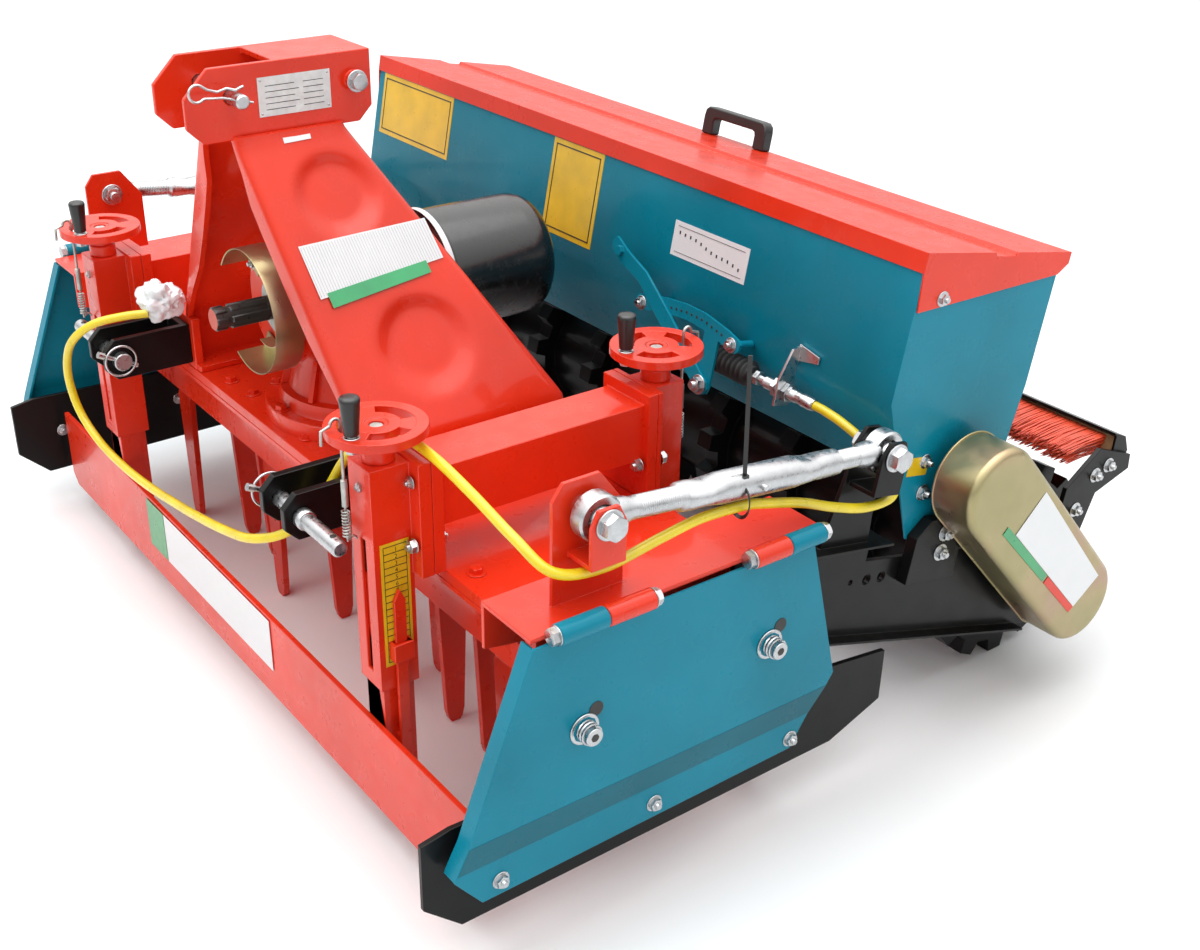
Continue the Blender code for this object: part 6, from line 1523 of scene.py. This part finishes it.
@dataclass(frozen=True)
class Pins:
    """The hitch pins and the clips, hooks and springs that hold them and the posts."""

    def build(self) -> None:
        """Build the pins and clips."""
        top = lathe(((0.0145, -0.0633), (0.0155, -0.0625), (0.0155, -0.057), (0.0145, -0.0562), (0.0095, -0.056),
                     (0.0095, 0.089), (0.0075, 0.091)), 40).aimed((0, *TOP_PIN_PLACE), (1, 0, 0))
        pin = piece("top_pin_bar", top, ZINC, sharp=32.0)
        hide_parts("top_link_pin")
        clip = self.spring_clip((0.074, *TOP_PIN_PLACE))
        piece("top_pin_clip", clip, ZINC, sharp=60.0)
        for side in Side:
            self.lower(side)
        self.hooks()

    def spring_clip(self, place: Place) -> Shape:
        """Bend the clip through the top pin: a straight leg, a round eye and a wavy leg."""
        x, y, z = place
        leg = [(x, y + 0.021, z - 0.006), (x, y - 0.02, z + 0.005), (x, y - 0.044, z + 0.007)]
        eye = arc((x, y - 0.054, z + 0.0145), 0.011, -48, -310, 18, "X")
        wave = [(x, y - 0.04, z + 0.018), (x, y - 0.027, z + 0.0135), (x, y - 0.014, z + 0.0165),
                (x, y - 0.002, z + 0.0128), (x, y + 0.009, z + 0.0165)]
        return wire(np.vstack((leg, eye, wave)), 0.0018, 10)

    def lower(self, side: Side) -> None:
        """Build one lower hitch pin with its shoulder, its cross hole as a black disc of painted shade, and its linch
        pin.
        """
        s, y, z = side.value, -0.476, 0.443
        bar = lathe(((0.0125, 0.256), (0.014, 0.2572), (0.014, 0.2688), (0.011, 0.2692), (0.011, 0.3445),
                     (0.0138, 0.3447), (0.014, 0.346), (0.014, 0.356), (0.0126, 0.3585), (0.011, 0.359),
                     (0.011, 0.4425), (0.0085, 0.445)), 40)
        shape = bar.aimed((0, y, z), (s, 0, 0))
        pin = piece("hitch_pin_%s_bar" % side.word, shape, ZINC, sharp=32.0)
        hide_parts("hitch_pin_" + side.word)
        # A black disc of painted shade stands for the pin's cross hole.
        dot = washer(0.0042, 0.0005).aimed((s * 0.427, y, z + 0.0108), (0, 0, 1))
        piece("hitch_pin_%s_hole" % side.word, dot, INK_AND_HOLE_SHADE, sharp=60.0)
        x = s * 0.2635
        linch = joined((wire([(x, y - 0.029, z + 0.0155), (x, y + 0.023, z - 0.012)], 0.0036, 14),
                        wire([(x, y - 0.036, z + 0.019), (x, y - 0.027, z + 0.0143)], 0.0052, 14)))
        ring = wire(arc((s * 0.2575, y - 0.0035, z + 0.003), 0.024, 0, 350, 44, "X"), 0.0017, 8, closed=True)
        piece("hitch_pin_%s_linch" % side.word, linch + ring, ZINC, sharp=50.0)

    def hooks(self) -> None:
        """Hang the lock hook and its spring beside each post."""
        parts = Parts("hooks")
        for side in Side:
            s = side.value
            for x, y, face in ((s * POST_X - 0.008, -0.464, -1.0), (s * POST_X + 0.004, 0.0455, 1.0)):
                over = [(x, y + face * 0.0065 * (1 - math.cos(t)), 0.608 + 0.0075 * math.sin(t))
                        for t in np.radians(np.linspace(0, 180, 13))]
                hook = [(x, y, 0.535), (x, y, 0.6)] + over
                hook += [(x, y + face * 0.025, 0.604), (x, y + face * 0.0258, 0.586)]
                sleeve = lathe(((0.0022, 0.497), (0.0042, 0.4985), (0.0042, 0.5335), (0.0022, 0.535)), 20)
                foot = [(x, y, 0.498), (x, y + face * 0.0015, 0.47), (x, y, 0.45)]
                eye = wire(arc((x, y - face * 0.006, 0.45), 0.006, 0, -150 * face, 10, "X"), 0.0016, 8)
                whole = (wire(hook, 0.0021, 10), sleeve.moved((x, y, 0)), wire(foot, 0.0016, 10), eye)
                parts.add(joined(whole), DULL_ZINC)
                spring = coil(0.005, 0.001, 9, 0.0042).moved((x, y, 0.455))
                parts.add(spring, DULL_ZINC)
                stud = bolt((x + 0.01, y - face * 0.0208, 0.524), (0, face, 0), 0.0055, 0.008, 0.0085, 0.003)
                parts.add(stud, ZINC)
        parts.build(50.0)


@dataclass(frozen=True)
class Controls:
    """The bellows on the cable rod, and the nuts, quadrant and tie of the dosing control."""

    start: float = 0.35
    end: float = 0.452
    y: float = 0.17
    z: float = 0.186

    def build(self) -> None:
        """Build the bellows, the cable's nuts and ferrule, the quadrant with its bolts, and the cable tie."""
        count = 9
        steps = np.linspace(self.start + 0.006, self.end - 0.006, count * 8 + 1)
        phase = (steps - steps[0]) / (steps[-1] - steps[0]) * count * 2 * math.pi
        profile = [(0.01, self.start), (0.0128, self.start + 0.001), (0.0128, self.start + 0.0052)]
        profile += [(0.016 - 0.0035 * math.cos(p), x) for x, p in zip(steps, phase)]
        profile += [(0.0128, self.end - 0.0052), (0.0128, self.end - 0.001), (0.01, self.end),
                    (0.0062, self.end), (0.0062, self.start)]
        boot = ring_lathe(profile, 48).aimed((0, self.y, self.z), (1, 0, 0))
        bellows = piece("bellows_boot", boot, RUBBER, UNIT, sharp=60.0)
        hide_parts("bellows")
        parts = Parts("controls")
        for x, r, h in ((0.498, 0.0125, 0.0075), (0.5195, 0.0125, 0.0075), (0.458, 0.0095, 0.008)):
            nut = hex_prism(r, h).aimed((x, self.y, self.z), (1, 0, 0), 0.3)
            parts.add(nut, ZINC, UNIT)
        thread = threaded(0.0092, 0.062, 0.0018, 28, 0.0006).aimed((0.479, self.y, self.z), (1, 0, 0))
        parts.add(thread, ZINC, UNIT)
        ferrule = lathe(((0.0082, 0.0), (0.0092, 0.0015), (0.0092, 0.02), (0.0075, 0.0235)), 32)
        parts.add(ferrule.aimed((0.5505, self.y, self.z), (1, 0, 0)), ZINC, UNIT)
        for x, z in ((0.216, 0.222), (0.42, 0.222)):
            parts.add(bolt((x, 0.144, z), (0, -1, 0), 0.007, 0.006, 0.011, 0.004), ZINC, UNIT)
        self.quadrant(parts)
        parts.add(bolt((0.3775, 0.1375, 0.149), (0, -1, 0), 0.0095, 0.0085, 0.0145, 0.006), ZINC, "dose_lever")
        parts.build()
        self.tie()

    def quadrant(self, parts: Parts) -> None:
        """Build the dosing quadrant: an arched band with a row of holes drawn as black discs of painted shade, two
        stand-offs and a slim hanger.
        """
        upper = [(0.206, 0.2335), (0.236, 0.24), (0.267, 0.2455), (0.313, 0.25), (0.357, 0.249),
                 (0.408, 0.24), (0.433, 0.233), (0.438, 0.227)]
        lower = [(0.436, 0.217), (0.43, 0.212), (0.4, 0.218), (0.393, 0.2195), (0.393, 0.149),
                 (0.3885, 0.137), (0.3775, 0.1325), (0.3665, 0.137), (0.362, 0.149), (0.362, 0.225),
                 (0.32, 0.228), (0.28, 0.224), (0.24, 0.217), (0.212, 0.211), (0.204, 0.214),
                 (0.202, 0.227)]
        band = slab(np.array(upper + lower), 0.144, 0.148, "Y")
        rods = [lathe(((0.0055, 0.1478), (0.0055, 0.1838)), 24).mapped(
            lambda p, x=x: np.stack((p[..., 0] + x, p[..., 2], 0.222 - p[..., 1]), -1)) for x in (0.216, 0.42)]
        quadrant = piece("dose_quadrant_band", joined([band] + rods), TEAL, UNIT, sharp=35.0)
        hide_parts("dose_quadrant")
        # The row of holes is painted shade: black discs on the band.
        for share in np.linspace(0.0, 1.0, 15):
            x = 0.238 + 0.16 * share
            z = float(np.interp(x, (0.216, 0.28, 0.32, 0.357, 0.42), (0.2235, 0.2345, 0.239, 0.238, 0.226)))
            dot = washer(0.0021, 0.0004).aimed((x, 0.14395, z), (0, -1, 0))
            parts.add(dot, INK_AND_HOLE_SHADE, UNIT)

    def tie(self) -> None:
        """Pull a cable tie round the near link and the cable, with its tail up."""
        centre = np.array((0.735, -0.1, 0.5335))
        angle = np.radians(np.linspace(0, 360, 40, endpoint=False))
        wide = 0.0215 + 0.0035 * np.sin(angle)
        path = np.stack((centre[0] + wide * np.cos(angle), centre[1] - 0.004 * np.sin(angle),
                         centre[2] + 0.0275 * np.sin(angle) - 0.006), -1)
        flat = np.array(((-1, -1), (1, -1), (1, 1), (-1, 1)))
        band = tube(path, flat * (0.0008, 0.0023), True)
        lock = block((-0.0035, -0.004, -0.0035), (0.0035, 0.004, 0.0035)).moved(centre + (0.01, 0, 0.0245))
        rise = [centre + np.array((0.01 - 0.006 * t, 0.002 * t, 0.0255 + 0.15 * t)) for t in np.linspace(0, 1, 9)]
        tail = tube(rise, flat * (0.0026, 0.0007))
        piece("cable_tie", joined((band, lock, tail)), GRIP, sharp=30.0)


class Panels:
    """The plain films and plates at the places of the photograph's labels, and the numbered scale."""

    def __init__(self) -> None:
        """Start with no films."""
        self.parts = Parts("panels")
        self.thickness = 0.0005

    def build(self) -> None:
        """Lay every panel."""
        self.tower()
        self.channel()
        self.leveller()
        self.chain()
        self.hopper()
        self.scale()
        self.parts.build()

    def lay(self, corners: Sequence[Place], lift: float, finish: Finish, u: Tuple[float, float] = WHOLE,
            v: Tuple[float, float] = WHOLE, body: str = "harrow") -> None:
        """Lay a thin film over a share of a four-cornered area.

        Args:
            corners: the area's corners, against the clock seen from outside.
            lift: how far the film's back stands off the area.
            finish: the film's finish.
            u: where it starts and ends from the first corner to the second, as shares.
            v: where it starts and ends from the first corner to the last.
            body: the body that it moves with.
        """
        p = self.part_of(corners, u, v)
        normal = np.cross(p[1] - p[0], p[3] - p[0])
        normal /= np.linalg.norm(normal)
        back, front = p + normal * lift, p + normal * (lift + self.thickness)
        self.parts.add(solid((back, front)), finish, body)

    def part_of(self, corners: Sequence[Place], u: Tuple[float, float], v: Tuple[float, float]) -> Array:
        """Give the corners of a share of a four-cornered area, by its two directions."""
        a, b, c, d = np.asarray(corners, float)
        return np.array([(1 - s) * (1 - t) * a + s * (1 - t) * b + s * t * c + (1 - s) * t * d
                         for s, t in ((u[0], v[0]), (u[1], v[0]), (u[1], v[1]), (u[0], v[1]))])

    def tower(self) -> None:
        """Put a white film with a green foot on the near tower, and a small tag above it."""
        sheet = ((0.19, -0.351, 0.65), (0.178, -0.156, 0.668), (0.142, -0.166, 0.723), (0.144, -0.359, 0.719))
        self.lay(sheet, 0.0012, PANEL_WHITE, v=(0.1, 1))
        for line in range(46):
            u = 0.01 + line * 0.0215
            self.lay(sheet, 0.0018, PANEL_GREY, (u, u + 0.003), (0.13, 0.97))
        self.lay(sheet, 0.0019, PANEL_GREEN, (0.06, 0.86), (-0.1, 0.16))
        tag = ((0.069, -0.3315, 0.835), (0.0686, -0.292, 0.836), (0.061, -0.291, 0.847), (0.0615, -0.331, 0.8465))
        self.lay(tag, 0.001, PANEL_WHITE)

    def channel(self) -> None:
        """Rivet a bare aluminium plate with ruled lines on the channel."""
        x = 0.0541
        plate = ((x, -0.356, 0.87), (x, -0.251, 0.87), (x, -0.251, 0.9215), (x, -0.356, 0.9215))
        self.lay(plate, 0.0002, ALUMINIUM)
        for row in range(5):
            v = 0.16 + 0.15 * row
            for u in ((0.1, 0.56 if row % 2 else 0.5), (0.62, 0.9)):
                self.lay(plate, 0.0006, INK_AND_HOLE_SHADE, u, (v, v + 0.016))
        for u, v in ((0.04, 0.08), (0.96, 0.08), (0.96, 0.92), (0.04, 0.92)):
            spot = self.part_of(plate, (u, u), (v, v))[0]
            rivet = lathe(((0.0018, 0.0006), (0.0015, 0.0014), (0.0006, 0.0018)), 16)
            self.parts.add(rivet.aimed(spot, (1, 0, 0)), ZINC)

    def leveller(self) -> None:
        """Lay a plain white film on the levelling board, green at its far end."""
        y, body = -0.4562, "levelling_board"
        sheet = ((-0.3, y, 0.096), (0.158, y, 0.096), (0.158, y, 0.182), (-0.3, y, 0.182))
        self.lay(sheet, 0.0002, PANEL_WHITE, (0.16, 1), body=body)
        self.lay(sheet, 0.0002, PANEL_GREEN, (0, 0.155), body=body)

    def chain(self) -> None:
        """Lay a white film on the chain cover, green and red at its ends."""
        x, body = 0.7801, UNIT
        sheet = ((x, 0.372, 0.058), (x, 0.591, -0.097), (x, 0.642, -0.043), (x, 0.423, 0.132))
        self.lay(sheet, 0.0, PANEL_WHITE, (0.1, 1), (0.16, 1), body)
        self.lay(sheet, 0.0, PANEL_GREEN, (0, 0.58), (0, 0.15), body)
        self.lay(sheet, 0.0, RED, (0.6, 1), (0, 0.15), body)

    def hopper(self) -> None:
        """Lay two framed yellow films and a ruled white chart on the hopper, and a small film on the arm."""
        y, body = 0.1839, UNIT
        for x0, x1, z0, z1 in ((-0.67, -0.424, 0.292, 0.403), (-0.112, 0.024, 0.25, 0.403)):
            sheet = ((x0, y, z0), (x1, y, z0), (x1, y, z1), (x0, y, z1))
            self.lay(sheet, 0.0, PANEL_YELLOW, body=body)
            wide, tall = 0.004 / (x1 - x0), 0.004 / (z1 - z0)
            across, up = (2 * wide, 1 - 2 * wide), (2 * tall, 1 - 2 * tall)
            for u, v in ((across, (2 * tall, 2.5 * tall)), (across, (1 - 2.5 * tall, 1 - 2 * tall)),
                         ((2 * wide, 2.5 * wide), up), ((1 - 2.5 * wide, 1 - 2 * wide), up)):
                self.lay(sheet, 0.0005, INK_AND_HOLE_SHADE, u, v, body)
        chart = ((0.215, y, 0.2975), (0.381, y, 0.2975), (0.381, y, 0.35), (0.215, y, 0.35))
        self.lay(chart, 0.0, PANEL_WHITE, body=body)
        for column in range(12):
            u = 0.08 + 0.074 * column
            v = 0.68 - 0.4 * column / 11 - 0.03 * math.cos(column)
            self.lay(chart, 0.0005, INK_AND_HOLE_SHADE, (u, u + 0.016), (v, v + 0.09), body)
        for v in (0.12, 0.86):
            self.lay(chart, 0.0005, INK_AND_HOLE_SHADE, (0.05, 0.95), (v, v + 0.012), body)
        x = 0.6902
        small = ((x, 0.25, 0.12), (x, 0.29, 0.12), (x, 0.29, 0.147), (x, 0.25, 0.147))
        self.lay(small, 0.0, PANEL_YELLOW, body=body)

    def scale(self) -> None:
        """Lay the yellow scale of seventeen cells, nine of them numbered, on the near post's outer face."""
        x, y0, y1, z0, z1 = 0.4777, -0.4405, -0.4, 0.276, 0.452
        sheet = ((x, y0, z0), (x, y1, z0), (x, y1, z1), (x, y0, z1))
        self.lay(sheet, 0.0, PANEL_YELLOW)
        cells = 17
        for row in range(cells + 1):
            v = 0.03 + 0.94 * row / cells
            self.lay(sheet, 0.0005, INK_AND_HOLE_SHADE, (0.1, 0.9), (v, v + 0.004))
        for u in (0.1, 0.885):
            self.lay(sheet, 0.0005, INK_AND_HOLE_SHADE, (u, u + 0.015), (0.03, 0.974))
        for number in range(1, 10):
            z = z0 + (z1 - z0) * (0.97 - 0.94 * (number - 0.16) / cells)
            text = self.lettering(str(number), 0.0085)
            flat = text.points[:, :2]
            spread = np.column_stack((np.full(len(flat), x + 0.0006), y0 + 0.0215 + flat[:, 0], z + flat[:, 1]))
            self.parts.add(Shape(spread, text.faces), INK_AND_HOLE_SHADE)

    def lettering(self, words: str, size: float) -> Shape:
        """Make the flat outline of plain characters as a mesh."""
        curve = bpy.data.curves.new("characters", "FONT")
        curve.body = words
        curve.size = size
        curve.align_x = "CENTER"
        curve.resolution_u = 3
        item = in_scene("characters", curve)
        bpy.context.view_layer.update()
        mesh = bpy.data.meshes.new_from_object(item)
        points = np.array([v.co[:] for v in mesh.vertices])
        faces = [list(p.vertices) for p in mesh.polygons]
        bpy.data.objects.remove(item)
        bpy.data.curves.remove(curve)
        bpy.data.meshes.remove(mesh)
        return Shape(points, faces)


def main() -> None:
    """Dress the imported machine."""
    logging.basicConfig(level=logging.INFO, format="%(message)s")
    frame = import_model()
    Studio().build()
    ControlCable().build()
    for finish, bevel, nodes in CARRIED:
        for node in nodes:
            softened(frame, node, finish, bevel)
    Shields().build(frame)
    for builder in (Handwheels(), Towers(), Gearbox(), Links(), ChainDrive(), Lid(), Brush(), Fasteners(), Pins(),
                    Controls(), Panels()):
        LOG.info("%s", type(builder).__name__)
        builder.build()


if __name__ == "__main__":
    main()
